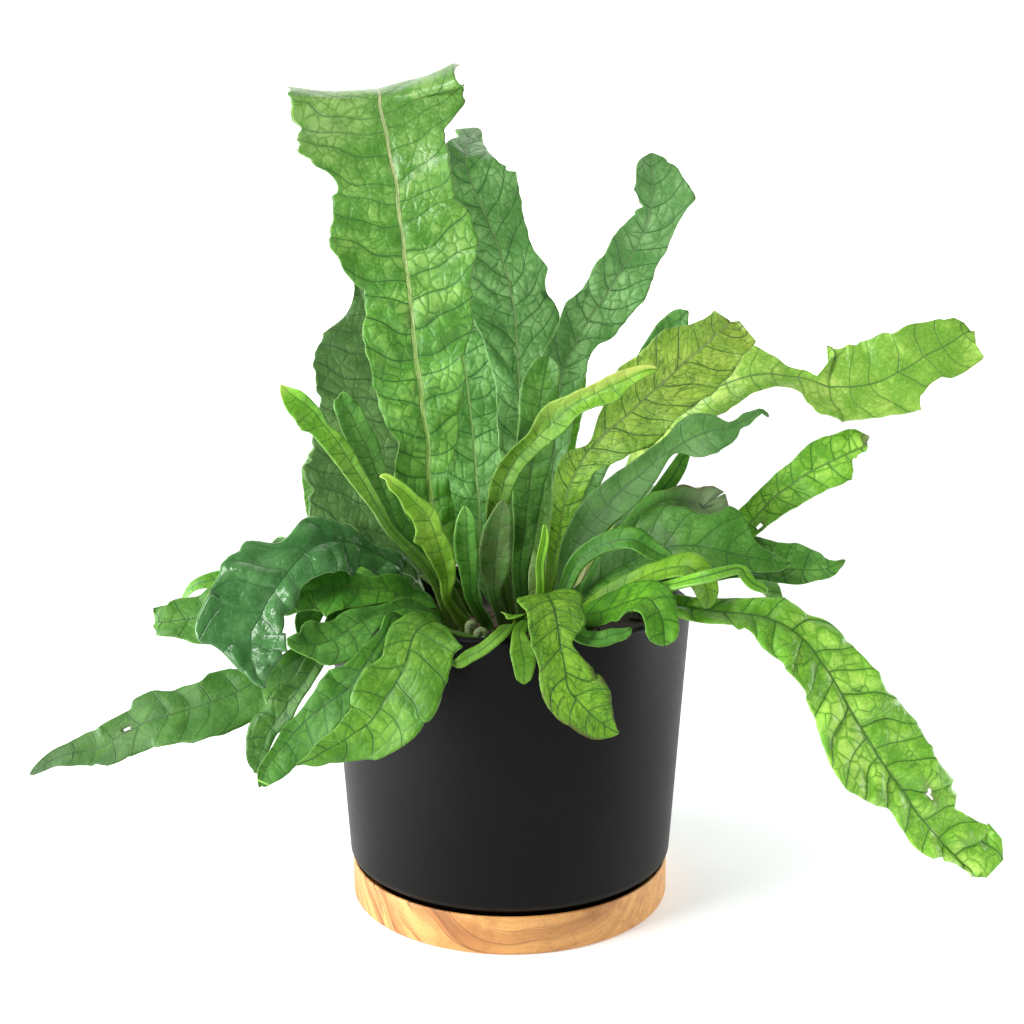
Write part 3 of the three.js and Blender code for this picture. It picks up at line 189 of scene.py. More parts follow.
FRONDS = {
    "tall_front": dict(
        tone="fresh", root=(-14, 2), ruffle=2.2, puff=1.7, smooth_from=0.45, sweep=0.12, rib=3.2, pale=1.0,
        tint=(0.78, 0.88), cool=(-0.9, 1.9),
        nicks=[(261, 1, 6, 9), (247.7, -1, -4, 4), (268.5, -1, -2, 4)],
        face=[(0, -1, 0)] * 9 + [(-0.02, -1, 0.2), (-0.08, -0.8, 0.6), (-0.17, 0, 1), (-0.1, 0.9, 0.4)],
        rows=[(-32, -4, 159, 6, 5), (-36, -7, 178, 10, 11), (-38, -10, 198, 15, 10),
              (-39, -12, 213, 16, 10), (-39, -14, 227, 14, 14), (-41, -15, 240, 19, 18),
              (-42, -16, 253, 22, 21), (-44, -16, 265, 21, 23), (-45, -17, 277, 24, 27),
              (-46, -17, 289, 21, 29), (-47, -16, 300, 22, 30), (-49, -15, 311, 29, 35),
              (-50, -13, 323, 34, 34), (-52, -10, 335, 31, 27), (-53, -6, 346, 29, 27),
              (-55, -3, 354, 28, 27), (-57, 0, 363, 40, 27), (-59, 4, 373, 41, 32), (-62, 11, 384, 42, 41),
              (-63, 17, 392, 42, 38), (-67, 36, 397, 41, 41), (-71, 53, 391, 23, 26), (-73, 60, 379, 3, 3)],
    ),
    "tall_behind": dict(
        tone="deep", root=(4, 24), ruffle=1.8, puff=1.1, sweep=0.75, rib=1.8, pale=0.3, tint=(1.2, 1.75),
        cool=(0.5, 0.9),
        nicks=[(225.2, 1, 1.8, 1.5), (227.8, 1, -2, 2), (269, -1, 6, 5)],
        face=[(0, -1, 0), (-0.1, -1, 0), (0.1, -1, 0), (0, -0.7, 0.5)],
        rows=[(3, 24, 162, 6, 6), (5, 30, 203, 9, 9), (5, 31, 223, 11, 12), (5, 33, 246, 12, 13),
              (4, 34, 266, 15, 17), (3, 34, 283, 20, 23), (1, 34, 297, 25, 17), (-1, 34, 305, 24, 21),
              (-3, 34, 312, 24, 17), (-6, 34, 321, 22, 16), (-10, 34, 331, 20, 18), (-14, 35, 340, 18, 21),
              (-18, 36, 349, 17, 21), (-21, 38, 357, 14, 16), (-23, 45, 367, 11, 13), (-21, 58, 377, 6, 8),
              (-17, 68, 384, 2, 2)],
    ),
    "tall_right": dict(
        tone="deep", root=(12, 12), cup=0.15, ruffle=1.2, puff=0.9, sweep=0.6, rib=1.2, pale=0.25,
        tint=(1.42, 1.12), cool=(0.4, 1.3),
        nicks=[(224.5, -1, 1.6, 1.5), (227, -1, -2, 1.5), (233.7, 1, 2.3, 3), (251.1, 1, 1.8, 2),
               (235.1, -1, 1, 2)],
        face=[(-0.2, -1, 0), (0, -1, 0.1), (0.1, -1, 0)],
        rows=[(18, 12, 164, 8, 5), (22, 18, 209, 6, 6), (24, 22, 239, 8, 9), (27, 25, 259, 12, 11),
              (34, 28, 274, 12, 10), (40, 29, 284, 14, 15), (47, 31, 294, 12, 16), (53, 32, 303, 13, 17),
              (58, 34, 311, 12, 16), (63, 35, 319, 13, 14), (67, 36, 326, 11, 14), (70, 36, 333, 9, 14),
              (71, 37, 340, 6, 18), (72, 37, 348, 9, 19), (72, 37, 355, 9, 14), (71, 37, 361, 8, 9),
              (71, 37, 365, 4, 5), (71, 37, 367, 1, 2)],
    ),
    "back_left": dict(
        tone="dusk", root=(-24, 28), cup=0.1, ruffle=1.6, puff=0.7, veins=0.8, tint=(0.88, 0.92),
        cool=(0.2, 0.4), grey=0.12,
        nicks=[(102.5, -1, 3.5, 4), (106.8, -1, -2.3, 2), (90, -1, -2, 3), (177, -1, 6, 5)],
        face=[(0, -1, 0), (0.1, -1, 0), (0.1, -1, 0.1)],
        rows=[(-53, 34, 160, 6, 6), (-54, 37, 173, 41, 15), (-56, 40, 186, 49, 16), (-57, 42, 199, 48, 22),
              (-59, 45, 216, 47, 22), (-62, 48, 232, 41, 23), (-65, 50, 247, 36, 21),
              (-68, 52, 261, 34, 19), (-71, 53, 276, 32, 17), (-75, 54, 289, 13, 13), (-79, 55, 299, 3, 8),
              (-81, 55, 305, 1, 2)],
    ),
    "mid_behind": dict(
        tone="deep", root=(-5, 14), ruffle=1.8, rib=2.2, pale=0.5, tint=(1.0, 1.1), cool=(-0.3, 0.3),
        face=[(0, -1, 0), (0, -1, 0.1)],
        rows=[(-14, 18, 163, 8, 7), (-16, 30, 192, 15, 12), (-19, 41, 222, 15, 16), (-22, 46, 249, 14, 20),
              (-25, 52, 269, 13, 18), (-25, 56, 283, 2, 2)],
    ),
    "spoon": dict(
        tone="mid", root=(7, -4), cup=0.2, ruffle=1.6, puff=0.8, veins=0.6, tint=(0.78, 0.78),
        cool=(-0.1, 0.3),
        face=[(0, -1, 0), (0, -1, 0.2), (0, -1, 0)],
        rows=[(5, -6, 161, 4, 4), (7, -10, 183, 5, 6), (9, -14, 202, 8, 7), (11, -19, 220, 8, 9),
              (13, -24, 237, 9, 10), (15, -24, 251, 10, 8), (17, -21, 262, 7, 6), (18, -20, 267, 1, 1)],
    ),
    "yellow_curl": dict(
        tone="lime", root=(0, -12), cup=0.45, ruffle=1.2, puff=0.5, rib=0.7, tint=(0.25, 1.0),
        cool=(-0.9, 0.3), yellow=0.9, yellow_from=0.4, yellow_side=-1,
        face=[(0, -1, 0), (0, -1, 0.3), (-0.2, -1, 0.5)],
        rows=[(-5, -18, 169, 3, 3), (-6, -24, 190, 5, 4), (-3, -28, 207, 6, 5), (3, -31, 219, 5, 5),
              (12, -34, 229, 4, 6), (21, -38, 238, 8, 7), (29, -42, 245, 5, 6), (38, -45, 250, 4, 7),
              (46, -47, 254, 4, 8), (53, -48, 257, 4, 4), (59, -49, 260, 3, 3), (63, -49, 261, 2, 2),
              (66, -49, 261, 1, 1)],
    ),
    "net_yellow": dict(
        tone="net", root=(15, -8), cup=0.08, ruffle=0.8, puff=0.35, tip=1.5, corners=(0, 3), sweep=0.6,
        rib=1.3, pale=0.4, tint=(0.88, 0.92), cool=(-1.2, 1.4),
        face=[(-0.3, -1, 0.1), (-0.1, -1, 0.2), (0.1, -1, 0.1)],
        rows=[(20, -14, 161, 3, 3), (24, -19, 184, 5, 7), (25, -21, 193, 5, 7), (28, -24, 205, 8, 8),
              (33, -28, 217, 9, 8), (38, -30, 225, 2, 12), (46, -33, 233, 8, 15), (55, -35, 241, 15, 18),
              (63, -37, 249, 18, 17), (72, -39, 257, 17, 17), (80, -40, 265, 17, 19),
              (87, -41, 271, 13, 18), (93, -42, 277, 9, 15), (97, -42, 280, 9, 14), (99, -42, 282, 9, 14)],
    ),
    "behind_net": dict(
        tone="deep", root=(20, 16), cup=0.2, ruffle=1.2,
        face=[(-0.2, -1, 0.2), (0, -1, 0.3)],
        rows=[(25, 16, 163, 3, 3), (41, 14, 204, 5, 5), (57, 12, 240, 6, 6), (71, 10, 267, 7, 7),
              (82, 9, 283, 6, 6), (87, 8, 288, 1, 1)],
    ),
    "long_right": dict(
        tone="bright", root=(25, 2), ruffle=0.9, puff=0.5, corners=(0, 2), sweep=0.15, veins=0.6,
        tint=(1.9, 1.12), cool=(2.5, 1.6),
        nicks=[(198.3, -1, 6, 2.5), (236.3, 1, 1.7, 2), (238.4, 1, -1.7, 2), (202.9, 1, -1.8, 2),
               (204.7, 1, 1.2, 2)],
        face=[(-1, 0.1, 0.2), (-0.3, -0.8, 0.5), (-0.2, -0.8, 0.6), (0, -0.9, 0.4), (0.1, -1, 0.3)],
        rows=[(40, 0, 166, 5, 5), (56, -2, 201, 7, 8), (71, -5, 227, 11, 11), (76, -6, 234, 10, 12),
              (86, -8, 243, 11, 14), (96, -10, 250, 12, 15), (105, -11, 254, 14, 13),
              (114, -13, 257, 18, 10), (123, -14, 258, 11, 8), (131, -15, 257, 6, 7),
              (139, -16, 256, 4, 10), (145, -17, 254, 4, 14), (150, -17, 252, 20, 17),
              (155, -17, 252, 20, 19), (161, -18, 252, 22, 18), (168, -18, 253, 21, 18),
              (175, -18, 255, 21, 19), (182, -19, 259, 20, 20), (188, -19, 262, 18, 13),
              (195, -19, 267, 16, 13), (201, -19, 270, 14, 15), (208, -19, 274, 12, 15),
              (212, -19, 277, 9, 13), (215, -19, 278, 3, 4)],
    ),
    "dark_wave": dict(
        tone="deep", root=(17, -20), cup=0.18, ruffle=0.9, puff=0.25, veins=0.35, rib=0.8, tint=(0.3, 1.0),
        cool=(-1.2, 1.1),
        face=[(-0.3, -1, 0.3), (-0.1, -1, 0.4), (0, -1, 0.3)],
        rows=[(24, -24, 156, 3, 3), (30, -29, 177, 6, 4), (41, -34, 193, 10, 8), (53, -38, 207, 8, 10),
              (60, -40, 213, 7, 8), (67, -42, 220, 6, 5), (74, -44, 225, 7, 2), (80, -45, 229, 9, 9),
              (86, -46, 232, 10, 11), (92, -47, 234, 7, 11), (98, -48, 235, 3, 7), (102, -48, 237, 2, 3),
              (106, -48, 239, 3, 3), (109, -48, 241, 2, 2), (112, -48, 243, 1, 2), (114, -48, 242, 1, 1),
              (116, -48, 240, 1, 1)],
    ),
    "short_strip": dict(
        tone="bright", root=(17, 3), cup=0.2, ruffle=1, tint=(0.72, 0.76), cool=(-1.1, -0.8),
        face=[(-0.2, -1, 0.3), (0, -1, 0.4)],
        rows=[(39, -10, 158, 2, 2), (56, -14, 181, 4, 4), (69, -17, 198, 4, 4), (78, -19, 211, 4, 4),
              (82, -20, 219, 3, 3), (85, -20, 223, 1, 1)],
    ),
    "purple_ruffle": dict(
        tone="dusk", root=(27, -8), ruffle=2.2, puff=0.5, tip=2.0, cleft=11, veins=0.5, rib=0.6,
        tint=(2.2, 1.9), cool=(-0.6, -0.2), edge=1.0, grey=0.7, grey_from=0.45,
        face=[(-0.9, 0.4, 0.2), (-0.3, -1, 0.5), (-0.1, -1, 0.6), (0, -1, 0.5)],
        rows=[(39, -16, 159, 4, 4), (62, -24, 191, 6, 6), (68, -27, 197, 7, 6), (74, -29, 200, 5, 9),
              (80, -31, 200, 7, 9), (87, -32, 199, 6, 9), (92, -33, 200, 7, 9), (96, -34, 202, 6, 7),
              (99, -34, 204, 4, 7)],
    ),
    "broad_right": dict(
        tone="mid", root=(23, -28), cup=0.1, ruffle=1, puff=0.5, sweep=0.5, veins=0.6, rib=0.7,
        tint=(0.75, 0.85), cool=(-0.1, -0.1),
        face=[(-0.9, 0.4, 0.2), (-0.2, -1, 0.6), (0, -1, 0.8), (0.1, -1, 0.6)],
        rows=[(32, -32, 153, 5, 5), (45, -38, 166, 9, 7), (60, -45, 176, 13, 14), (68, -48, 180, 21, 17),
              (77, -51, 182, 19, 18), (86, -53, 182, 16, 17), (93, -56, 181, 22, 14),
              (101, -58, 179, 18, 9), (108, -60, 178, 9, 7), (115, -61, 177, 5, 6), (120, -62, 176, 3, 4),
              (124, -63, 176, 1, 1)],
    ),
    "toothed_right": dict(
        tone="bright", root=(35, -2), ruffle=0.8, puff=0.7, tip=2.0, corners=(3, 0), rib=1.4, pale=0.2,
        tint=(1.35, 1.35), cool=(0.2, 0.6), stain=0.9, stain_from=0.965,
        nicks=[(158.6, 1, 1.6, 2), (164, 1, -4, 2)],
        holes=[(108.7, 4.5, 2.6, 1.7, 0)],
        face=[(-1, 0.1, 0.2), (-0.2, -0.8, 0.6), (-0.1, -1, 0.5), (0, -1, 0.4)],
        rows=[(51, -2, 151, 5, 5), (77, -7, 163, 6, 6), (95, -10, 172, 7, 7), (109, -13, 180, 6, 6),
              (115, -14, 186, 8, 7), (121, -15, 193, 8, 8), (127, -16, 200, 8, 10), (134, -16, 205, 9, 11),
              (140, -17, 210, 9, 12), (147, -17, 214, 12, 12), (153, -18, 217, 12, 12),
              (159, -18, 220, 11, 9), (164, -18, 222, 11, 2), (167, -18, 224, 9, 3), (169, -18, 226, 7, 1)],
    ),
    "low_right": dict(
        tone="mid", root=(38, -17), ruffle=0.8, puff=0.6, tint=(0.9, 1.1), cool=(-0.3, 0.0), stain=0.9,
        stain_from=0.94,
        face=[(-0.8, 0.5, 0.2), (-0.2, -0.8, 0.8), (0, -0.8, 0.8), (0.1, -0.9, 0.6)],
        rows=[(48, -28, 151, 5, 5), (68, -36, 160, 6, 6), (88, -43, 167, 6, 5), (103, -47, 173, 11, 9),
              (110, -49, 173, 14, 9), (117, -50, 172, 13, 8), (125, -51, 171, 14, 8),
              (131, -52, 171, 14, 8), (137, -53, 171, 11, 6), (143, -54, 172, 7, 5), (147, -54, 174, 2, 3),
              (151, -54, 176, 1, 1)],
    ),
    "folded_right": dict(
        tone="mid", root=(12, -28), cup=0.3, ruffle=1, veins=0.5, tint=(0.68, 0.8), cool=(-1.1, -0.4),
        face=[(-0.8, 0.6, 0.2), (-0.2, -1, 0.5), (0, -1, 0.6), (0.2, -1, 0.6)],
        rows=[(23, -36, 153, 3, 3), (31, -42, 172, 4, 4), (43, -48, 182, 5, 4), (55, -53, 185, 6, 5),
              (65, -56, 180, 4, 5), (73, -59, 177, 2, 2), (79, -61, 176, 1, 1)],
    ),
    "loop_right": dict(
        tone="lime", root=(22, -37), cup=0.2, ruffle=1, veins=0.6, tint=(0.6, 0.75), cool=(-0.4, 0.0),
        face=[(-0.9, 0.5, 0.2), (-0.2, -0.8, 0.8), (0, -0.7, 0.9), (0.3, -0.9, 0.4)],
        rows=[(37, -48, 154, 4, 4), (54, -56, 165, 5, 5), (66, -70, 174, 7, 7), (77, -78, 177, 8, 8),
              (83, -81, 171, 6, 7), (85, -82, 165, 4, 5), (84, -82, 160, 1, 1)],
    ),
    "finger_right": dict(
        tone="bright", root=(30, -22), cup=0.2, ruffle=0.4,
        face=[(-0.5, 0.8, 0.2), (-0.2, -0.8, 0.8), (0, -0.7, 0.8), (0.2, -0.9, 0.4)],
        rows=[(51, -44, 156, 3, 3), (64, -76, 167, 3, 3), (79, -97, 176, 3, 3), (95, -96, 180, 2, 3),
              (98, -97, 177, 3, 3), (101, -98, 174, 2, 3), (105, -98, 172, 2, 2), (107, -98, 170, 1, 1)],
    ),
    "elbow_front": dict(
        tone="bright", root=(17, -44), ruffle=0.7, veins=0.8, tint=(0.6, 0.68), cool=(-1.0, -0.8),
        face=[(-0.7, 0.7, 0.2), (-0.1, -0.7, 0.9), (0, -0.7, 0.8), (0.1, -1, 0.1)],
        rows=[(23, -54, 147, 4, 4), (33, -62, 152, 7, 9), (44, -71, 157, 10, 10), (52, -82, 163, 12, 14),
              (58, -91, 166, 11, 15), (61, -96, 164, 9, 9), (63, -100, 160, 7, 8), (64, -102, 155, 6, 8),
              (64, -103, 151, 4, 6), (64, -103, 149, 1, 2)],
    ),
    "long_droop": dict(
        tone="bright", root=(33, -34), ruffle=1.3, puff=2.7, tip=9.0, corners=(3, 0), sweep=0.3, rib=1.5,
        tint=(1.0, 1.7), cool=(0.2, 1.2),
        nicks=[(96.1, 1, 2.1, 2), (98.2, 1, -1, 2), (109.4, -1, 1.8, 3), (195.5, -1, 2.1, 3),
               (220, -1, 4.5, 4), (231.8, 1, -3, 2)],
        holes=[(209.3, -9.5, 4.5, 1.4, 0)],
        face=[(-0.8, 0.6, 0.2), (-0.3, -0.6, 0.9), (-0.1, -0.8, 0.8), (0.2, -1, 0.5), (0.3, -1, 0.4)],
        rows=[(50, -46, 149, 4, 4), (63, -56, 155, 5, 5), (74, -64, 157, 6, 6), (84, -71, 157, 7, 8),
              (92, -76, 157, 8, 9), (101, -80, 157, 8, 9), (109, -82, 156, 9, 13), (116, -85, 154, 11, 16),
              (121, -87, 151, 11, 16), (127, -88, 146, 14, 17), (132, -90, 139, 15, 15),
              (137, -91, 132, 17, 16), (141, -92, 125, 18, 17), (145, -93, 118, 18, 18),
              (149, -94, 111, 22, 20), (153, -95, 105, 22, 23), (157, -96, 98, 23, 22),
              (162, -97, 91, 22, 17), (168, -98, 83, 20, 11), (173, -99, 75, 22, 10),
              (179, -100, 68, 15, 11), (184, -100, 62, 17, 9), (190, -101, 56, 19, 3),
              (193, -101, 53, 21, 2), (196, -101, 51, 24, 2), (198, -102, 48, 23, 1)],
    ),
    "front_hang": dict(
        tone="net", root=(2, -34), cup=0.08, ruffle=0.7, puff=0.6, sweep=0.5, rib=0.9, tint=(0.7, 0.82),
        cool=(-0.6, -0.9), stain=0.5, stain_from=0.93, edge=1.0,
        face=[(-0.4, 0.9, 0.2), (0, -0.5, 1), (0, -0.8, 0.6), (0, -1, 0.1), (0, -1, 0)],
        rows=[(14, -50, 151, 6, 6), (16, -64, 162, 8, 8), (17, -80, 164, 14, 14), (19, -93, 161, 12, 12),
              (20, -99, 156, 12, 12), (21, -104, 150, 5, 12), (22, -107, 145, 7, 11),
              (23, -108, 139, 11, 11), (24, -110, 133, 13, 11), (27, -111, 129, 14, 11),
              (31, -112, 125, 13, 10), (35, -112, 121, 10, 9), (39, -112, 118, 6, 7), (42, -112, 116, 3, 4),
              (44, -112, 115, 1, 2), (45, -112, 115, 1, 1)],
    ),
    "bright_lobe_left": dict(
        tone="lime", root=(-5, -50), cup=0.15, ruffle=0.6, puff=0.6, veins=0.5, rib=0.6, tint=(0.45, 0.6),
        cool=(-0.7, -0.6),
        face=[(-0.1, 1, 0.2), (0, -0.7, 1), (0, -1, 0.5)],
        rows=[(0, -60, 146, 2, 2), (-1, -80, 151, 3, 3), (-4, -93, 151, 3, 3), (-11, -97, 146, 3, 3),
              (-17, -98, 143, 3, 3), (-21, -99, 141, 3, 2), (-24, -99, 140, 1, 1)],
    ),
    "bright_lobe_right": dict(
        tone="lime", root=(4, -51), ruffle=0.5, puff=0.6, veins=0.5, rib=0.6, tint=(0.45, 0.6),
        cool=(-0.7, -0.6),
        face=[(0, 1, 0.2), (0, -0.7, 1), (0, -1, 0.2)],
        rows=[(7, -68, 150, 2, 2), (5, -82, 151, 3, 3), (4, -93, 151, 3, 3), (5, -97, 146, 5, 5),
              (6, -99, 141, 5, 5), (6, -101, 137, 4, 4), (6, -101, 134, 3, 3), (6, -101, 132, 1, 1)],
    ),
    "rim_dark": dict(
        tone="deep", root=(12, -51), cup=0.2, ruffle=0.8, veins=0.5, tint=(0.85, 0.75), cool=(-1.1, -1.0),
        edge=0.4,
        face=[(-0.4, 0.9, 0.2), (0, -0.6, 1), (0, -1, 0.5)],
        rows=[(20, -70, 150, 4, 4), (27, -84, 151, 4, 4), (31, -94, 150, 4, 4), (38, -97, 150, 4, 4),
              (43, -97, 152, 3, 4), (48, -97, 153, 2, 3), (51, -97, 155, 1, 1)],
    ),
    "left_bright": dict(
        tone="bright", root=(-29, -12), cup=0.2, ruffle=0.8, puff=0.8, veins=0.6, rib=0.6, tint=(0.62, 1.3),
        cool=(0.7, -0.1), yellow=0.4, yellow_from=0.84,
        nicks=[(130.1, -1, 1.5, 3)],
        face=[(0.2, -1, 0.1), (0.2, -1, 0.3), (0.2, -1, 0.3)],
        rows=[(-37, -18, 162, 3, 3), (-55, -24, 184, 3, 2), (-62, -27, 196, 3, 3), (-68, -30, 208, 5, 3),
              (-74, -32, 218, 6, 4), (-79, -34, 227, 7, 4), (-85, -35, 235, 7, 2), (-90, -36, 242, 10, 3),
              (-96, -38, 247, 8, 4), (-100, -38, 250, 5, 3), (-103, -38, 253, 2, 1),
              (-104, -38, 254, 1, 1)],
    ),
    "left_round": dict(
        tone="mid", root=(-23, -4), cup=0.2, ruffle=0.7, puff=0.8, veins=0.6, rib=0.6, tint=(1.08, 1.08),
        cool=(-0.2, 0.3),
        face=[(0.2, -1, 0.1), (0.2, -1, 0.3), (0.2, -1, 0.3)],
        rows=[(-34, -8, 160, 3, 3), (-53, -15, 184, 4, 6), (-57, -18, 195, 5, 5), (-61, -20, 206, 6, 5),
              (-64, -22, 215, 7, 5), (-67, -24, 224, 7, 6), (-71, -26, 233, 7, 6), (-74, -27, 240, 7, 6),
              (-77, -28, 244, 5, 6), (-78, -28, 248, 3, 4), (-79, -28, 249, 2, 2)],
    ),
    "left_curl": dict(
        tone="lime", root=(-20, -26), cup=0.3, ruffle=0.8, veins=0.7, rib=0.6, tint=(0.75, 1.0),
        cool=(0.3, -0.2), yellow=0.3, yellow_from=0.75,
        nicks=[(67, -1, 3, 4)],
        face=[(0.1, -1, 0.1), (0, -1, 0.3), (0.2, -1, 0.5)],
        rows=[(-29, -34, 153, 2, 2), (-29, -39, 166, 4, 4), (-32, -43, 178, 6, 6), (-34, -46, 187, 8, 4),
              (-38, -48, 196, 7, 5), (-43, -50, 202, 6, 3), (-48, -51, 207, 4, 3), (-52, -52, 210, 3, 3),
              (-55, -52, 213, 1, 2), (-58, -52, 214, 1, 1)],
    ),
    "big_dark_left": dict(
        tone="glossy", root=(-38, -6), cup=0.1, ruffle=1.2, puff=2.2, veins=0.35, rib=0.8,
        tint=(1.45, 0.98), cool=(0.7, 0.8),
        nicks=[(111.6, 1, 6, 6), (136.2, -1, -1.2, 3), (163, -1, 5, 5), (167.5, -1, 2, 4)],
        face=[(0.8, 0.6, 0.2), (0.2, -0.8, 0.6), (0.1, -0.8, 0.7), (0, -1, 0.6), (0, -1, 0.2)],
        rows=[(-43, -12, 155, 5, 5), (-54, -17, 166, 8, 7), (-63, -23, 173, 13, 5), (-71, -31, 179, 12, 7),
              (-79, -39, 182, 19, 11), (-86, -46, 182, 19, 14), (-92, -52, 179, 17, 11),
              (-96, -57, 175, 13, 16), (-100, -62, 170, 10, 24), (-104, -67, 164, 12, 26),
              (-107, -70, 159, 10, 25), (-109, -74, 154, 12, 25), (-112, -77, 149, 15, 24),
              (-112, -80, 144, 16, 19), (-112, -82, 139, 16, 9), (-110, -84, 134, 8, 5),
              (-108, -85, 130, 4, 3), (-105, -86, 126, 1, 1)],
    ),
    "far_left": dict(
        tone="mid", root=(-41, 8), cup=0.1, ruffle=0.8, tip=1.5, corners=(1, -2), veins=0.5,
        tint=(0.82, 0.85), cool=(0.2, 0.1),
        face=[(1, 0.1, 0.2), (0.1, -0.8, 0.8), (0, -0.9, 0.7), (0, -1, 0.5)],
        rows=[(-53, 8, 152, 4, 4), (-85, 3, 154, 7, 7), (-116, -2, 146, 11, 11), (-142, -7, 141, 15, 16),
              (-151, -8, 139, 15, 12), (-160, -9, 138, 11, 11), (-168, -10, 137, 8, 10),
              (-172, -10, 137, 7, 8), (-174, -10, 136, 6, 8)],
    ),
    "far_left_small": dict(
        tone="bright", root=(-48, 14), cup=0.2, ruffle=0.8,
        face=[(1, -0.1, 0.2), (0.1, -0.8, 0.8), (0, -0.9, 0.7)],
        rows=[(-58, 15, 156, 3, 3), (-92, 18, 160, 4, 4), (-122, 16, 158, 6, 6), (-146, 14, 154, 5, 5),
              (-159, 12, 151, 3, 3), (-167, 14, 143, 1, 1)],
    ),
    "left_green": dict(
        tone="fresh", root=(-34, -22), cup=0.25, ruffle=0.8, puff=0.5, veins=0.7, rib=0.8, pale=0.5,
        tint=(0.82, 0.8), cool=(-0.8, -0.7),
        face=[(0.7, 0.7, 0.2), (0.2, -0.7, 0.8), (0.1, -0.8, 0.8), (0, -0.9, 0.6)],
        rows=[(-36, -28, 150, 5, 5), (-46, -35, 153, 7, 8), (-54, -40, 158, 9, 9), (-61, -45, 160, 9, 7),
              (-69, -48, 162, 12, 7), (-77, -50, 164, 15, 8), (-85, -53, 163, 16, 6),
              (-91, -55, 161, 15, 4), (-96, -58, 157, 6, 5), (-101, -60, 152, 1, 1)],
    ),
    "left_lower": dict(
        tone="deep", root=(-29, -33), cup=0.2, ruffle=0.9, veins=0.7, tint=(0.86, 0.86), cool=(-0.8, -0.6),
        face=[(0.7, 0.7, 0.2), (0.1, -0.7, 0.8), (0.1, -0.8, 0.8), (0, -0.9, 0.6)],
        rows=[(-36, -42, 148, 4, 4), (-46, -50, 153, 5, 5), (-53, -56, 153, 6, 4), (-60, -61, 152, 7, 5),
              (-67, -68, 150, 10, 8), (-73, -74, 147, 14, 8), (-80, -79, 144, 13, 10),
              (-86, -82, 144, 9, 10), (-91, -85, 145, 4, 6), (-95, -86, 148, 2, 3)],
    ),
    "long_left": dict(
        tone="mid", root=(-43, -20), cup=0.1, ruffle=1, puff=0.7, veins=0.4, rib=0.8, tint=(1.0, 0.33),
        cool=(0.3, -0.8),
        nicks=[(194.7, -1, -2, 2), (172.7, 1, 1.3, 3)],
        holes=[(180.1, 1.5, 2.4, 1.1, 0)],
        face=[(1, 0.2, 0.2), (0.1, -0.6, 0.9), (0, -0.8, 0.8), (0, -1, 0.6)],
        rows=[(-53, -20, 150, 5, 5), (-70, -26, 154, 6, 6), (-85, -31, 155, 5, 5), (-94, -42, 145, 6, 6),
              (-93, -46, 133, 6, 6), (-100, -54, 128, 10, 6), (-108, -58, 124, 10, 7),
              (-115, -60, 121, 15, 9), (-121, -63, 118, 18, 13), (-129, -66, 115, 19, 14),
              (-136, -68, 113, 19, 11), (-143, -69, 111, 19, 12), (-151, -71, 109, 16, 13),
              (-159, -72, 107, 14, 14), (-165, -73, 104, 12, 10), (-172, -74, 101, 12, 9),
              (-179, -75, 96, 10, 9), (-187, -75, 94, 7, 8), (-194, -76, 93, 6, 6), (-201, -76, 91, 4, 4),
              (-207, -77, 87, 2, 3), (-212, -77, 84, 1, 1)],
    ),
    "low_left": dict(
        tone="mid", root=(-38, -32), cup=0.15, ruffle=0.6, puff=1.3, veins=0.8, tint=(0.57, 0.68),
        cool=(-0.3, 0.2),
        face=[(0.9, 0.4, 0.2), (0.1, -0.7, 0.8), (0, -0.9, 0.6), (0, -1, 0.2)],
        rows=[(-51, -38, 148, 4, 4), (-75, -50, 154, 3, 3), (-81, -64, 143, 4, 4), (-86, -75, 132, 4, 5),
              (-91, -78, 124, 4, 5), (-96, -81, 118, 5, 8), (-100, -83, 112, 6, 8), (-104, -85, 107, 4, 9),
              (-106, -87, 101, 3, 8), (-108, -88, 96, 3, 6), (-109, -89, 91, 3, 3), (-110, -89, 89, 1, 1)],
    ),
    "low_left_broad": dict(
        tone="fresh", root=(-22, -41), ruffle=0.8, puff=0.6, veins=0.6, tint=(0.5, 0.55), cool=(-1.1, -1.0),
        face=[(0.7, 0.7, 0.2), (0.1, -0.7, 0.8), (0, -0.9, 0.5), (0, -1, 0.1)],
        rows=[(-43, -60, 147, 4, 4), (-51, -74, 154, 3, 3), (-54, -80, 148, 3, 3), (-59, -88, 141, 4, 5),
              (-63, -92, 135, 6, 7), (-68, -94, 128, 7, 12), (-74, -96, 124, 10, 10),
              (-80, -97, 120, 12, 7), (-86, -98, 115, 13, 5), (-91, -99, 110, 12, 5),
              (-95, -100, 105, 10, 4), (-100, -101, 99, 9, 3), (-103, -102, 94, 7, 3),
              (-105, -103, 89, 3, 1), (-105, -103, 88, 1, 1)],
    ),
    "front_left_big": dict(
        tone="bright", root=(-14, -48), cup=0.08, ruffle=1, puff=0.7, veins=0.65, tint=(0.64, 0.66),
        cool=(-0.2, -0.1),
        nicks=[(77.8, -1, -1.5, 2.5)],
        face=[(0.6, 0.8, 0.2), (0.1, -0.6, 1), (0, -0.8, 0.7), (0, -1, 0.2), (0, -1, 0)],
        rows=[(-26, -64, 145, 4, 4), (-31, -72, 151, 8, 7), (-36, -82, 153, 13, 9), (-40, -90, 151, 21, 11),
              (-42, -96, 146, 19, 11), (-43, -100, 142, 20, 10), (-45, -103, 137, 20, 12),
              (-48, -106, 132, 21, 14), (-51, -108, 128, 20, 14), (-54, -110, 123, 19, 13),
              (-58, -111, 118, 16, 11), (-63, -112, 115, 13, 8), (-69, -113, 111, 9, 6),
              (-75, -114, 108, 6, 5), (-80, -115, 105, 4, 3), (-85, -115, 103, 1, 1),
              (-87, -115, 102, 1, 1)],
    ),
    "heart_grey": dict(
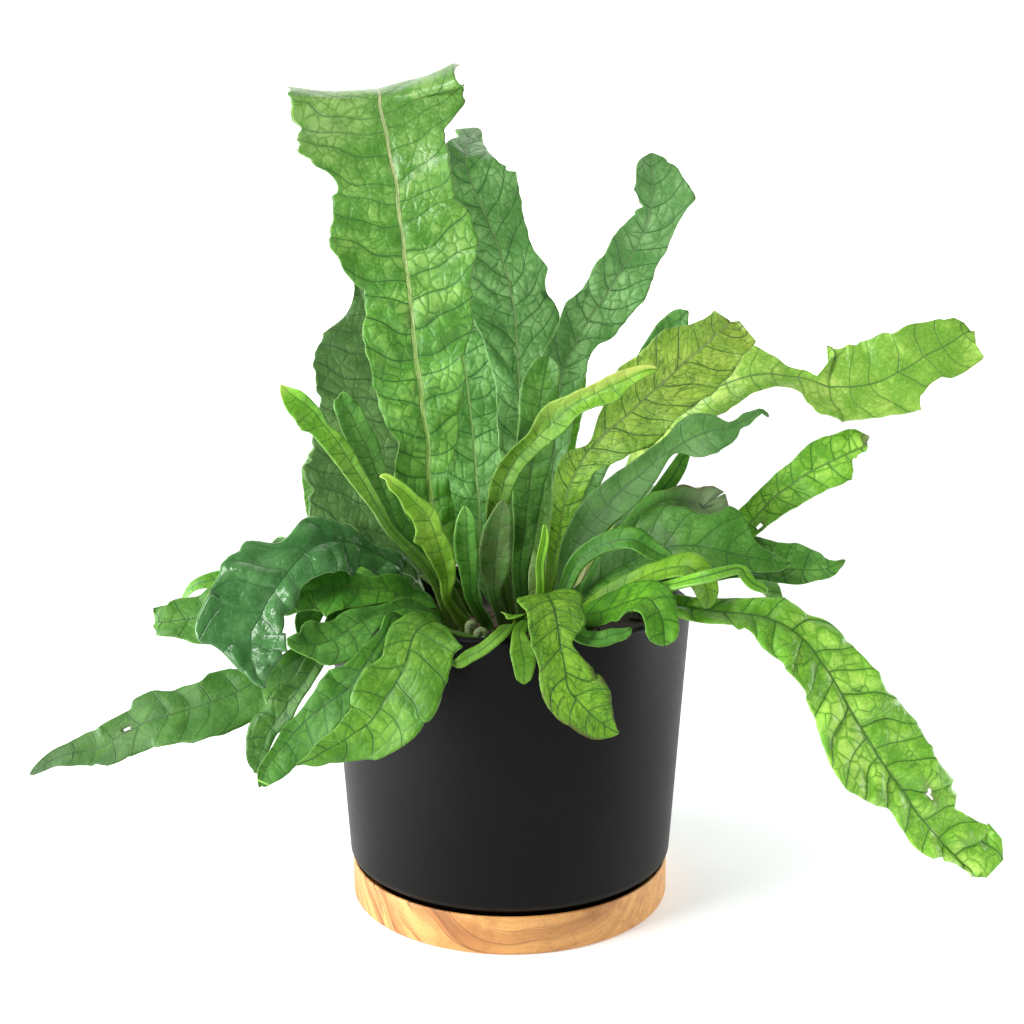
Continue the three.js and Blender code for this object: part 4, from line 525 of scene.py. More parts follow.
        tone="mid", root=(-11, -17), cup=0.25, ruffle=0.8, veins=0.5, tint=(1.4, 1.6), cool=(-0.1, 0.4),
        face=[(0, -1, 0.1), (0, -1, 0.2)],
        rows=[(-18, -24, 152, 3, 3), (-19, -28, 167, 5, 4), (-20, -31, 179, 6, 5), (-20, -34, 191, 5, 4),
              (-21, -35, 198, 1, 1)],
    ),
    "heart_finger": dict(
        tone="lime", root=(8, -18), cup=0.3, ruffle=0.3, veins=0.4, tint=(0.8, 1.0), cool=(-0.5, -0.4),
        face=[(0, -1, 0.1), (0, -1, 0.2)],
        rows=[(14, -40, 157, 2, 2), (14, -43, 172, 2, 2), (16, -45, 183, 2, 2), (16, -46, 191, 1, 1)],
    ),
    "heart_brown": dict(
        tone="dusk", root=(-2, -22), cup=0.2, ruffle=1, puff=0.5, veins=0.5, rib=0.6, tint=(1.05, 1.1),
        stain=0.3, stain_from=0.0,
        face=[(0, -1, 0.1), (0, -1, 0.2)],
        rows=[(-7, -28, 154, 3, 3), (-7, -31, 169, 7, 7), (-6, -34, 184, 7, 7), (-4, -36, 195, 4, 5),
              (-3, -37, 201, 1, 1)],
    ),
    "heart_low": dict(
        tone="lime", root=(0, -42), cup=0.2, ruffle=0.4,
        face=[(0, 1, 0.2), (0, 0.2, 1), (0, -0.6, 1)],
        rows=[(4, -50, 147, 2, 2), (2, -57, 151, 6, 6), (1, -63, 152, 4, 4), (-1, -67, 152, 1, 1)],
    ),
    "back_tall": dict(
        tone="deep", root=(-6, 38),
        face=[(0, -1, 0.2), (0, -0.6, 0.8), (0, 0.3, 1)],
        rows=[(-8, 44, 165, 4, 4), (-12, 56, 205, 10, 10), (-18, 72, 245, 16, 16), (-24, 92, 275, 18, 18),
              (-28, 116, 292, 15, 15), (-30, 140, 294, 9, 9), (-30, 156, 286, 2, 2)],
    ),
    "back_arch_left": dict(
        tone="fresh", root=(-32, 38),
        face=[(0.6, -0.8, 0.2), (-0.4, 0.4, 1), (-0.2, 0.3, 1), (-0.5, 0.7, 0.6)],
        rows=[(-40, 50, 165, 5, 5), (-58, 72, 195, 12, 12), (-78, 100, 212, 17, 17),
              (-98, 130, 212, 18, 18), (-114, 158, 196, 14, 14), (-124, 180, 172, 8, 8),
              (-128, 192, 154, 2, 2)],
    ),
    "back_arch_right": dict(
        tone="mid", root=(32, 34),
        face=[(-0.6, -0.8, 0.2), (0.4, 0.4, 1), (0.2, 0.3, 1), (0.5, 0.7, 0.6)],
        rows=[(44, 50, 160, 5, 5), (62, 72, 180, 12, 12), (82, 100, 188, 16, 16), (100, 130, 182, 16, 16),
              (114, 156, 168, 12, 12), (122, 176, 150, 7, 7), (125, 186, 136, 2, 2)],
    ),
    "back_middle": dict(
        tone="bright", root=(5, 48),
        face=[(-0.1, -1, 0.2), (0, 0.4, 1), (0, 0.3, 1), (0, 0.8, 0.5)],
        rows=[(6, 60, 160, 5, 5), (10, 84, 182, 12, 12), (14, 112, 190, 16, 16), (18, 142, 184, 16, 16),
              (22, 170, 166, 12, 12), (24, 190, 142, 7, 7), (25, 200, 124, 2, 2)],
    ),
    "back_low_left": dict(
        tone="fresh", root=(-18, 48),
        face=[(0.5, -0.9, 0.2), (0, 0.4, 1), (-0.2, 0.4, 1), (-0.4, 0.8, 0.4)],
        rows=[(-26, 62, 154, 5, 5), (-42, 88, 162, 11, 11), (-60, 116, 158, 14, 14),
              (-76, 142, 142, 12, 12), (-88, 164, 118, 8, 8), (-94, 178, 94, 2, 2)],
    ),
    "back_low_right": dict(
        tone="mid", root=(20, 46),
        face=[(-0.4, -0.9, 0.2), (0, 0.4, 1), (0.2, 0.4, 1), (0.4, 0.8, 0.4)],
        rows=[(26, 62, 154, 5, 5), (40, 88, 164, 10, 10), (56, 116, 161, 14, 14), (70, 142, 147, 13, 13),
              (82, 164, 123, 8, 8), (88, 176, 101, 2, 2)],
    ),
    "back_side_left": dict(
        tone="mid", root=(-43, 24),
        face=[(0.9, -0.4, 0.2), (-0.4, 0.2, 1), (-0.3, 0.2, 1), (-0.8, 0.5, 0.4)],
        rows=[(-65, 29, 154, 5, 5), (-89, 42, 166, 11, 11), (-112, 64, 166, 15, 15),
              (-134, 78, 152, 13, 13), (-150, 88, 130, 8, 8), (-158, 94, 108, 2, 2)],
    ),
    "back_side_right": dict(
        tone="fresh", root=(47, 20),
        face=[(-0.8, -0.6, 0.2), (0.4, 0.2, 1), (0.3, 0.2, 1), (0.8, 0.5, 0.4)],
        rows=[(62, 32, 156, 5, 5), (86, 46, 165, 10, 10), (112, 60, 162, 13, 13), (134, 72, 146, 11, 11),
              (150, 80, 124, 7, 7), (157, 84, 104, 2, 2)],
    ),
    "back_upright": dict(
        tone="bright", root=(14, 36),
        face=[(0, -1, 0.2), (0, -0.7, 0.7), (0, 0.3, 1)],
        rows=[(18, 46, 170, 4, 4), (22, 58, 205, 10, 10), (27, 72, 238, 13, 13), (31, 90, 262, 12, 12),
              (33, 108, 274, 8, 8), (34, 120, 276, 2, 2)],
    ),
}


# Settings

def colour(name, default, description):
    """A colour that the user can change."""
    return FloatVectorProperty(name=name, default=default, description=description,
                               subtype="COLOR", size=3, min=0.0, max=1.0)


def share(name, default, description, top=1.0):
    """A plain number from 0 up to top."""
    return FloatProperty(name=name, default=default, description=description, min=0.0, max=top)


def millimetres(name, default, description, top=60.0):
    """A length in millimetres."""
    return FloatProperty(name=name, default=default, description=description, min=0.0, max=top, precision=2)


def turn_by(name, degrees, description):
    """An angle, given in degrees."""
    return FloatProperty(name=name, default=math.radians(degrees), description=description,
                         subtype="ANGLE", unit="ROTATION")


def whole(name, default, description, low, top):
    """A whole number."""
    return IntProperty(name=name, default=default, description=description, min=low, max=top)


def leaf_tone(label, dark, cell, light, vein, midrib, net, roughness):
    """The group of values for one tone of leaf."""
    fields = {
        "dark": colour("Dark", dark, "Colour of the darker patches"),
        "cell": colour("Cell", cell, "Colour between the veins"),
        # The light colour is partly the cells' own paler green and partly painted sheen on the raised cells
        "light": colour("Light", light, "Colour of the raised middle of a cell"),
        "vein": colour("Vein", vein, "Colour of the side veins and cross veins"),
        "midrib": colour("Midrib", midrib, "Colour of the midrib's strip"),
        "net": share("Net", net, "How dark the fine net of small veins is"),
        "roughness": share("Roughness", roughness, "Roughness of the leaf's surface"),
    }
    return type("Fern" + label + "Tone", (bpy.types.PropertyGroup,), {"__annotations__": fields})


LEAF_TONES = {tone: leaf_tone(tone.title(), *values) for tone, (_, *values) in LEAF_COLOURS.items()}


class FernBladeSettings(bpy.types.PropertyGroup):
    """Sizes of the fronds' relief and the colours of their marks."""
    mesh_step: millimetres("Mesh Step", 1.5, "Distance between the points of a blade, in millimetres")
    vein_spacing: millimetres("Vein Spacing", 6.0, "Spacing of the side veins on the narrowest blade, in mm")
    cell_width: millimetres("Cell Width", 8.5, "Usual distance between cross veins, in millimetres")
    puff: millimetres("Puff", 1.0, "How high a cell rises between its veins, in millimetres")
    groove: millimetres("Groove", 0.45, "Depth of the groove over the midrib, in millimetres")
    thickness: millimetres("Thickness", 0.8, "Thickness of the blade between its veins, in millimetres")
    shade: share("Heart Shade", 0.5, "How much darker the stems are low in the middle of the plant")
    shade_width: millimetres("Shade Width", 60.0, "How far out the darker stems reach, in millimetres")
    shade_height: millimetres("Shade Height", 132.0, "Height at which the stems are darkest, in millimetres")
    stain: colour("Stain", (0.085, 0.045, 0.03), "Colour of browned margins and tips")
    ageing: colour("Ageing", (0.50, 0.62, 0.12), "Colour of yellowed tips")
    margin: colour("Margin", (0.30, 0.48, 0.14), "Colour of the thin line along the margin")
    midrib: colour("Pale Midrib", (0.42, 0.52, 0.16), "Colour of a pale midrib")
    weathered: colour("Weathered", (0.10, 0.095, 0.085), "Colour of greyed blades")
    dust: colour("Dust", (0.62, 0.68, 0.55), "Colour of water marks and dust")


class FernPotSettings(bpy.types.PropertyGroup):
    """Colours and roughness of the pot."""
    glaze: colour("Glaze", (0.0008, 0.0008, 0.0008), "Colour of the matte coating")
    bloom: colour("Bloom", (0.0035, 0.0035, 0.0034), "Lighter colour in the coating's grain")
    roughness: share("Roughness", 0.45, "Roughness of the coating")
    sides: whole("Sides", 128, "Steps round the pot", 16, 256)


class FernSaucerSettings(bpy.types.PropertyGroup):
    """Colours of the turned wood."""
    light: colour("Light Wood", (0.72, 0.37, 0.115), "Colour of the early wood")
    warm: colour("Warm Wood", (0.38, 0.145, 0.036), "Colour of the late wood")
    dark: colour("Dark Streak", (0.20, 0.07, 0.02), "Colour of the dark lines and streaks")
    grain_angle: turn_by("Grain Angle", 50, "How far the grain leans back from the vertical")
    sides: whole("Sides", 128, "Steps round the saucer", 16, 256)


class FernSoilSettings(bpy.types.PropertyGroup):
    """Colours and grain of the soil and the rhizomes."""
    dark: colour("Dark Soil", (0.011, 0.007, 0.004), "Colour of damp crumbs")
    light: colour("Light Soil", (0.05, 0.031, 0.019), "Colour of dry fibres and bark")
    rhizome: colour("Rhizome", (0.10, 0.055, 0.028), "Colour of the creeping rhizomes")
    scale: colour("Scale", (0.05, 0.024, 0.012), "Colour of the scales on the rhizomes")
    bud: colour("Bud", (0.27, 0.37, 0.15), "Colour of the young coiled fronds")
    down: colour("Down", (0.12, 0.13, 0.06), "Colour of the scales on the young fronds")
    crumbs: whole("Crumbs", 320, "Loose crumbs on the soil", 0, 2000)


class FernStageSettings(bpy.types.PropertyGroup):
    """Camera, light and floor."""
    floor: colour("Floor", (0.92, 0.92, 0.92), "Colour of the floor")
    sky: share("Surround", 0.3, "Strength of the light from all round", 10.0)
    wall: share("Back Wall", 1.25, "Brightness of the white wall behind", 10.0)
    key: share("Key Light", 18.0, "Power of the soft light from the front, on the left", 500.0)
    left: share("Left Light", 16.0, "Power of the soft light on the left", 500.0)
    right: share("Right Light", 7.0, "Power of the soft light on the right", 500.0)
    top: share("Top Light", 2.5, "Power of the soft light from above", 500.0)
    table: share("Table Glow", 0.25, "Brightness of the lit floor", 10.0)
    lens: millimetres("Lens", 43.1, "Focal length in millimetres", 200.0)
    pitch: turn_by("Pitch", 8.11, "How far the camera looks down")


# Materials

class Finish:
    """A material in the making: one Principled shader and the nodes that feed it."""

    def __init__(self, name):
        self.material = bpy.data.materials.new(name)
        self.material.use_nodes = True
        self.tree = self.material.node_tree
        self.tree.nodes.clear()
        output = self.add("ShaderNodeOutputMaterial")
        self.shader = self.add("ShaderNodeBsdfPrincipled")
        self.tree.links.new(self.shader.outputs["BSDF"], output.inputs["Surface"])

    def add(self, kind, **settings):
        """A new node with these settings."""
        made = self.tree.nodes.new(kind)
        for key, value in settings.items():
            setattr(made, key, value)
        return made

    def feed(self, socket, value):
        """Links a socket to another node's output, or sets it to a plain value."""
        if isinstance(value, bpy.types.NodeSocket):
            self.tree.links.new(value, socket)
        elif isinstance(value, (int, float)) or len(value) == len(socket.default_value):
            socket.default_value = value
        else:
            socket.default_value = (*value, 1.0)

    def set(self, **values):
        """Sets or links the shader's sockets. Words in a socket's name are joined by underscores."""
        for key, value in values.items():
            self.feed(self.shader.inputs[key.replace("_", " ")], value)

    def math(self, operation, first, second=0.0):
        """One step of arithmetic."""
        made = self.add("ShaderNodeMath", operation=operation)
        self.feed(made.inputs[0], first)
        self.feed(made.inputs[1], second)
        return made.outputs[0]

    def times(self, first, second):
        """The product of two values."""
        return self.math("MULTIPLY", first, second)

    def plus(self, first, second):
        """The sum of two values."""
        return self.math("ADD", first, second)

    def minus(self, first, second):
        """The first value less the second."""
        return self.math("SUBTRACT", first, second)

    def vector_math(self, operation, *values):
        """One step of arithmetic on vectors."""
        made = self.add("ShaderNodeVectorMath", operation=operation)
        for socket, value in zip(made.inputs, values):
            self.feed(socket, value)
        return made.outputs[0]

    def attribute(self, name, output="Vector"):
        """What a mesh attribute says."""
        return self.add("ShaderNodeAttribute", attribute_name=name).outputs[output]

    def uv_map(self, name):
        """A UV map of the mesh."""
        return self.add("ShaderNodeUVMap", uv_map=name).outputs[0]

    def smooth(self, value, low, high):
        """0 below low and 1 above high, with a smooth step between them. low may be above high."""
        made = self.add("ShaderNodeMapRange", interpolation_type="SMOOTHSTEP")
        self.feed(made.inputs["Value"], value)
        if low <= high:
            made.inputs["From Min"].default_value = low
            made.inputs["From Max"].default_value = high
        else:
            made.inputs["From Min"].default_value = high
            made.inputs["From Max"].default_value = low
            made.inputs["To Min"].default_value = 1.0
            made.inputs["To Max"].default_value = 0.0
        return made.outputs["Result"]

    def between(self, value, low, high):
        """Spreads a value from 0 to 1 over low to high, in a straight line."""
        made = self.add("ShaderNodeMapRange")
        self.feed(made.inputs["Value"], value)
        made.inputs["To Min"].default_value = low
        made.inputs["To Max"].default_value = high
        return made.outputs["Result"]

    def mix(self, amount, first, second):
        """From the first colour to the second."""
        made = self.add("ShaderNodeMix", data_type="RGBA")
        self.feed(made.inputs[0], amount)
        self.feed(made.inputs[6], first)
        self.feed(made.inputs[7], second)
        return made.outputs[2]

    def place(self):
        """The place on the object, in metres."""
        return self.add("ShaderNodeTexCoord").outputs["Object"]

    def mapped(self, vector, rotation=(0, 0, 0), scale=(1, 1, 1)):
        """A turned and stretched place."""
        made = self.add("ShaderNodeMapping")
        self.feed(made.inputs["Vector"], vector)
        made.inputs["Rotation"].default_value = rotation
        made.inputs["Scale"].default_value = scale
        return made.outputs["Vector"]

    def noise(self, vector, scale, detail=2.0, roughness=0.5, distortion=0.0, colour=False):
        """Cloudy noise round 0.5, as one number, or as three with colour."""
        made = self.add("ShaderNodeTexNoise")
        self.feed(made.inputs["Vector"], vector)
        made.inputs["Scale"].default_value = scale
        made.inputs["Detail"].default_value = detail
        made.inputs["Roughness"].default_value = roughness
        made.inputs["Distortion"].default_value = distortion
        return made.outputs[1 if colour else 0]

    def cracks(self, vector, scale):
        """Distance to the border of the nearest cell."""
        made = self.add("ShaderNodeTexVoronoi", feature="DISTANCE_TO_EDGE")
        self.feed(made.inputs["Vector"], vector)
        made.inputs["Scale"].default_value = scale
        return made.outputs["Distance"]

    def parts(self, vector):
        """The three numbers of a vector."""
        made = self.add("ShaderNodeSeparateXYZ")
        self.feed(made.inputs[0], vector)
        return made.outputs[0], made.outputs[1], made.outputs[2]

    def bump(self, height, strength, distance):
        """A normal from a height in metres."""
        made = self.add("ShaderNodeBump")
        made.inputs["Strength"].default_value = strength
        made.inputs["Distance"].default_value = distance
        self.feed(made.inputs["Height"], height)
        return made.outputs["Normal"]


def leaf_finish(tone, values, blade):
    """A puckered leaf: thin side veins, cells and a finer net between them, a midrib and a pale margin."""
    leaf = Finish("leaf_" + tone)
    vein_map = leaf.uv_map("veins")
    across, _, _ = leaf.parts(vein_map)
    blade_map = leaf.uv_map("blade")
    from_midrib, _, _ = leaf.parts(blade_map)
    to_margin, grown, _ = leaf.parts(leaf.uv_map("margin"))
    stain, ageing, body = leaf.parts(leaf.attribute("marks"))
    rib, pale, grey = leaf.parts(leaf.attribute("habit"))
    place = leaf.place()
    patches = leaf.noise(place, *PATCHES)
    clouds = leaf.noise(place, *CLOUDS)
    fine = leaf.noise(place, *FINE_GRAIN)

    # Side veins stand at whole numbers of across. Cells and the net are laid on the blade in centimetres.
    nearest = leaf.math("ABSOLUTE", leaf.minus(leaf.math("FRACT", leaf.plus(across, 0.5)), 0.5))
    side_vein = leaf.smooth(nearest, 0.034, 0.010)
    drifting = leaf.noise(blade_map, 2.2, 2.0, colour=True)
    bent = leaf.vector_math("MULTIPLY_ADD", drifting, (0.18, 0.18, 0.0), blade_map)
    border = leaf.cracks(leaf.mapped(bent, scale=(1.35, 1.0, 1.0)), 1.3)
    cell_vein = leaf.times(leaf.smooth(border, 0.028, 0.006), leaf.smooth(clouds, 0.30, 0.62))
    crossing = leaf.times(cell_vein, 0.1 if tone == "net" else 0.85)
    veins = leaf.times(leaf.math("MAXIMUM", side_vein, crossing), body)
    if tone == "net":
        drifting = leaf.noise(blade_map, 3.0, 2.0, colour=True)
        woven = leaf.vector_math("MULTIPLY_ADD", drifting, (0.15, 0.15, 0.0),
                                 leaf.mapped(vein_map, scale=(3.6, 1.7, 1)))
        net_border = leaf.cracks(woven, 1.0)
    else:
        net_border = leaf.cracks(bent, 3.9)
    net = leaf.times(leaf.smooth(net_border, 0.058, 0.012), values.net)
    net = leaf.times(net, body)
    pillow = leaf.times(leaf.smooth(nearest, 0.0, 0.16), leaf.smooth(border, 0.0, 0.16))

    # Colour
    distance = leaf.math("ABSOLUTE", from_midrib)
    drift = leaf.plus(leaf.times(patches, 0.6), leaf.times(clouds, 0.4))
    # Painted sheen: where this noise rises, the raised middles of the cells take the light colour,
    # partly the cells' own paler green and partly a painted highlight on the puckers
    painted_sheen = leaf.smooth(leaf.plus(drift, leaf.times(fine, 0.22)), 0.54, 0.74)
    inner = leaf.plus(0.4, leaf.times(leaf.smooth(to_margin, 0.1, 0.9), 0.6))
    raised = leaf.times(leaf.times(pillow, body), 0.6)
    light_cells_and_sheen = leaf.times(leaf.plus(raised, 0.1), painted_sheen)
    light_cells_and_sheen = leaf.times(light_cells_and_sheen, inner)
    base = leaf.mix(leaf.smooth(clouds, 0.26, 0.66), values.dark, values.cell)
    base = leaf.mix(leaf.times(leaf.smooth(patches, 0.52, 0.36), 0.5), base, values.dark)
    base = leaf.mix(light_cells_and_sheen, base, values.light)
    base = leaf.mix(leaf.times(leaf.smooth(fine, 0.45, 0.75), 0.2), base, values.light)
    shade = leaf.times(leaf.smooth(nearest, 0.10, 0.0), leaf.between(clouds, -0.1, 0.45))
    base = leaf.mix(leaf.times(shade, body), base, values.vein)
    base = leaf.mix(leaf.times(net, 0.8), base, values.vein)
    base = leaf.mix(leaf.times(veins, leaf.between(patches, 0.7, 1.1)), base, values.vein)
    strip = leaf.times(leaf.minus(0.052, leaf.times(grown, 0.028)), rib)
    beyond = leaf.minus(distance, strip)
    base = leaf.mix(leaf.times(leaf.smooth(beyond, 0.035, 0.004), 0.7), base, values.vein)
    ribbed = leaf.mix(leaf.smooth(leaf.noise(leaf.mapped(blade_map, scale=(45, 0.6, 1)), 1.0, 1.0), 0.4, 0.6),
                      blade.midrib, values.cell)
    base = leaf.mix(leaf.times(leaf.smooth(beyond, 0.004, -0.014), 0.85), base,
                    leaf.mix(pale, values.midrib, ribbed))
    base = leaf.mix(leaf.times(leaf.smooth(to_margin, 0.035, 0.010), 0.3), base, blade.margin)
    blotch = leaf.times(stain, leaf.smooth(leaf.noise(place, *BLOTCHES), 0.3, 0.6))
    base = leaf.mix(leaf.times(grey, leaf.between(clouds, 0.5, 1.2)), base, blade.weathered)
    base = leaf.mix(ageing, base, blade.ageing)
    base = leaf.mix(blotch, base, blade.stain)
    # tint carries the frond's own tone together with painted shade and painted sheen
    tinted = leaf.vector_math("MULTIPLY", base, leaf.attribute("tint"))
    specks = leaf.smooth(leaf.noise(place, *SPECKS), 0.74, 0.80)
    base = leaf.mix(leaf.times(specks, 0.4), tinted, blade.dust)
    if tone == "fresh":
        creases = leaf.noise(leaf.mapped(blade_map, scale=(0.7, 6.5, 1)), 1.0, 3.0, 0.6, 0.4)
        folds = leaf.smooth(creases, 0.56, 0.66)
        base = leaf.mix(leaf.times(folds, leaf.smooth(grown, 0.86, 0.93)), base, values.light)

    relief = leaf.times(leaf.times(leaf.smooth(border, 0.0, 0.22), body), 0.45)
    relief = leaf.minus(relief, leaf.times(side_vein, 0.35))
    relief = leaf.plus(relief, leaf.times(leaf.smooth(net_border, 0.0, 0.3), 0.10))
    relief = leaf.plus(relief, leaf.times(fine, 0.14))
    dull = leaf.attribute("dull", "Fac")
    rough = leaf.between(fine, values.roughness - 0.02, values.roughness + 0.16)
    leaf.set(Base_Color=base, Roughness=leaf.plus(rough, dull), Specular_IOR_Level=0.32,
             Normal=leaf.bump(relief, 0.75, 0.0006), Subsurface_Weight=0.05, Subsurface_Scale=0.0012,
             Subsurface_Radius=(0.5, 1.0, 0.2))
    return leaf.material


def pot_finish(values):
    """Matte dark coating with a fine grain."""
    glaze = Finish("matte_glaze")
    place = glaze.place()
    grain = glaze.noise(place, 1900.0, 2.0, 0.6)
    cloud = glaze.noise(place, 22.0, 3.0)
    wipe = glaze.noise(glaze.mapped(place, scale=(1, 1, 6)), 60.0, 3.0, 0.6)
    mixing = glaze.times(glaze.smooth(grain, 0.35, 0.8), 0.6)
    base = glaze.mix(mixing, values.glaze, values.bloom)
    base = glaze.mix(glaze.times(glaze.smooth(cloud, 0.4, 0.75), 0.3), base, values.bloom)
    rough = glaze.between(grain, values.roughness - 0.06, values.roughness + 0.06)
    rough = glaze.plus(glaze.between(wipe, -0.05, 0.05), rough)
    height = glaze.plus(glaze.times(grain, 0.6), cloud)
    glaze.set(Base_Color=base, Roughness=rough, Specular_IOR_Level=0.13,
              Normal=glaze.bump(height, 0.25, 0.0003))
    return glaze.material


def wood_finish(values):
    """Turned wood: slanting lines and streaks, warm mottling and fine pores."""
    wood = Finish("turned_wood")
    place = wood.place()
    wander = wood.noise(place, 24.0, 1.0, colour=True)
    leaning = wood.mapped(place, rotation=(-values.grain_angle, math.radians(-6), 0))
    grain = wood.vector_math("MULTIPLY_ADD", wander, (0.004, 0.004, 0.012), leaning)
    streak = wood.noise(wood.mapped(grain, scale=(7, 7, 120)), 1.0, 2.0, 0.5)
    lines = wood.noise(wood.mapped(grain, scale=(12, 12, 560)), 1.0, 2.0, 0.6)
    thread = wood.noise(wood.mapped(grain, scale=(9, 9, 210)), 1.0, 1.0)
    mottle = wood.noise(place, 110.0, 4.0, 0.7)
    speckle = wood.noise(place, 1300.0, 2.0, 0.6)
    pores = wood.smooth(wood.noise(wood.mapped(grain, scale=(260, 260, 1900)), 1.0, 2.0, 0.6), 0.60, 0.72)
    east, _, _ = wood.parts(place)
    left = wood.smooth(east, 0.03, -0.04)
    base = wood.mix(wood.times(wood.smooth(lines, 0.35, 0.7), 0.35), values.light, values.warm)
    base = wood.mix(wood.times(wood.smooth(mottle, 0.45, 0.7), 0.5), base, values.warm)
    broad = wood.times(wood.smooth(streak, 0.50, 0.60), wood.between(left, 0.35, 0.8))
    base = wood.mix(broad, base, values.warm)
    thin = wood.smooth(wood.math("ABSOLUTE", wood.minus(thread, 0.5)), 0.022, 0.004)
    base = wood.mix(wood.times(thin, wood.between(left, 0.25, 0.85)), base, values.dark)
    core = wood.times(wood.smooth(streak, 0.59, 0.68), wood.between(left, 0.2, 0.75))
    base = wood.mix(core, base, values.dark)
    base = wood.mix(wood.times(wood.smooth(speckle, 0.5, 0.75), 0.45), base, values.warm)
    base = wood.mix(wood.times(pores, 0.35), base, values.dark)
    height = wood.minus(wood.times(lines, 0.5), wood.times(pores, 0.6))
    wood.set(Base_Color=base, Roughness=wood.between(lines, 0.42, 0.6),
             Normal=wood.bump(height, 0.35, 0.0004))
    return wood.material


def soil_finish(values):
    """Crumbly peat with pale fibres."""
    soil = Finish("peat")
    place = soil.place()
    lump = soil.noise(place, 260.0, 5.0, 0.65)
    fibre = soil.noise(soil.mapped(place, rotation=(0.4, 0.2, 0.9), scale=(200, 1400, 1400)), 1.0, 2.0)
    base = soil.mix(soil.smooth(lump, 0.4, 0.75), values.dark, values.light)
    base = soil.mix(soil.times(soil.smooth(fibre, 0.62, 0.72), 0.7), base, values.light)
    soil.set(Base_Color=base, Roughness=soil.between(lump, 0.75, 1.0), Normal=soil.bump(lump, 0.9, 0.0015))
    return soil.material


def rhizome_finish(values):
    """Scaly brown rhizome."""
    bark = Finish("scaly_rhizome")
    place = bark.place()
    scales = bark.cracks(place, 620.0)
    tint = bark.noise(place, 90.0, 4.0, 0.6)
    base = bark.mix(bark.smooth(tint, 0.35, 0.7), values.rhizome, values.scale)
    base = bark.mix(bark.smooth(scales, 0.12, 0.02), base, values.scale)
    bark.set(Base_Color=base, Roughness=bark.between(tint, 0.6, 0.9), Normal=bark.bump(scales, 0.8, 0.001))
    return bark.material


def bud_finish(values):
    """Pale scaly skin of a young coiled frond."""
    bud = Finish("young_bud")
    place = bud.place()
    scales = bud.cracks(place, 760.0)
    tint = bud.noise(place, 130.0, 3.0)
    base = bud.mix(bud.times(bud.smooth(tint, 0.35, 0.7), 0.4), values.bud, values.down)
    base = bud.mix(bud.times(bud.smooth(scales, 0.14, 0.03), 0.7), base, values.down)
    bud.set(Base_Color=base, Roughness=bud.between(tint, 0.5, 0.7), Normal=bud.bump(scales, 0.6, 0.0006))
    return bud.material


def scrap_finish(blade):
    """Dry brown leaf."""
    dry = Finish("dry_leaf")
    place = dry.place()
    tint = dry.noise(place, 220.0, 4.0, 0.6)
    base = dry.mix(dry.smooth(tint, 0.3, 0.7), blade.stain, (0.30, 0.18, 0.09))
    dry.set(Base_Color=base, Roughness=dry.between(tint, 0.6, 0.85), Normal=dry.bump(tint, 0.6, 0.0006))
    return dry.material


# Pieces

def finish_piece(mesh, name, material, replaced=()):
    """Puts a finished mesh into the scene, riding on the part."""
    piece = bpy.data.objects.new(name, mesh)
    bpy.context.scene.collection.objects.link(piece)
    mesh.materials.append(material)
    mesh.shade_smooth()
    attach(piece, BODY)
    for node in replaced:
        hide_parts(node)
    return piece


def to_mesh(shape, name):
    """Ends a bmesh as a mesh."""
    mesh = bpy.data.meshes.new(name)
    shape.to_mesh(mesh)
    shape.free()
    return mesh


def round_points(radius, height, size, start, end, steps):
    """Points of a rounded corner of a profile, between two angles in degrees."""
    angles = [math.radians(start + (end - start) * step / steps) for step in range(steps + 1)]
    return [(radius + size * math.cos(angle), height + size * math.sin(angle)) for angle in angles]


def turned(profile, sides, closed=True):
    """A profile of radius and height in millimetres, spun right round the vertical axis."""
    shape = bmesh.new()
    points = [shape.verts.new((radius * MM, 0, height * MM)) for radius, height in profile]
    edges = [shape.edges.new(pair) for pair in zip(points, points[1:])]
    if closed:
        edges.append(shape.edges.new((points[-1], points[0])))
    bmesh.ops.spin(shape, geom=points + edges, cent=(0, 0, 0), axis=(0, 0, 1), angle=math.tau,
                   steps=sides, use_merge=True)
    bmesh.ops.remove_doubles(shape, verts=shape.verts[:], dist=1e-6)
    bmesh.ops.recalc_face_normals(shape, faces=shape.faces[:])
    return shape


def node_span(node):
    """Lowest and highest height of a CAD node, and its radius, in millimetres."""
    low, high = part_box(node)
    return low[2] / MM, high[2] / MM, (high[0] - low[0]) / 2 / MM


def pot_profile():
    """Section of the pot wall, as in the CAD model, with finer roundings."""
    bottom, top, rim = node_span("pot")
    shoulder = bottom + POT_FOOT_HEIGHT
    lip = POT_WALL / 2
    inner = POT_SHOULDER_RADIUS - POT_WALL
    floor = bottom + POT_FLOOR
    round_size = POT_SHOULDER_ROUND
    return [
        (DRAIN_RADIUS, bottom),
        *round_points(POT_FOOT_RADIUS - POT_FOOT_ROUND, bottom + POT_FOOT_ROUND, POT_FOOT_ROUND, -90, 0, 3),
        (POT_FOOT_RADIUS, shoulder - 0.2),
        (POT_FOOT_RADIUS + 0.2, shoulder),
        *round_points(POT_SHOULDER_RADIUS - round_size, shoulder + round_size, round_size, -90, 0, 7),
        *round_points(rim - lip, top - lip, lip, 0, 180, 14),
        (inner, floor + POT_WALL),
        (inner - POT_WALL * 0.3, floor + POT_WALL * 0.3),
        (inner - POT_WALL, floor),
        (DRAIN_RADIUS, floor),
    ]


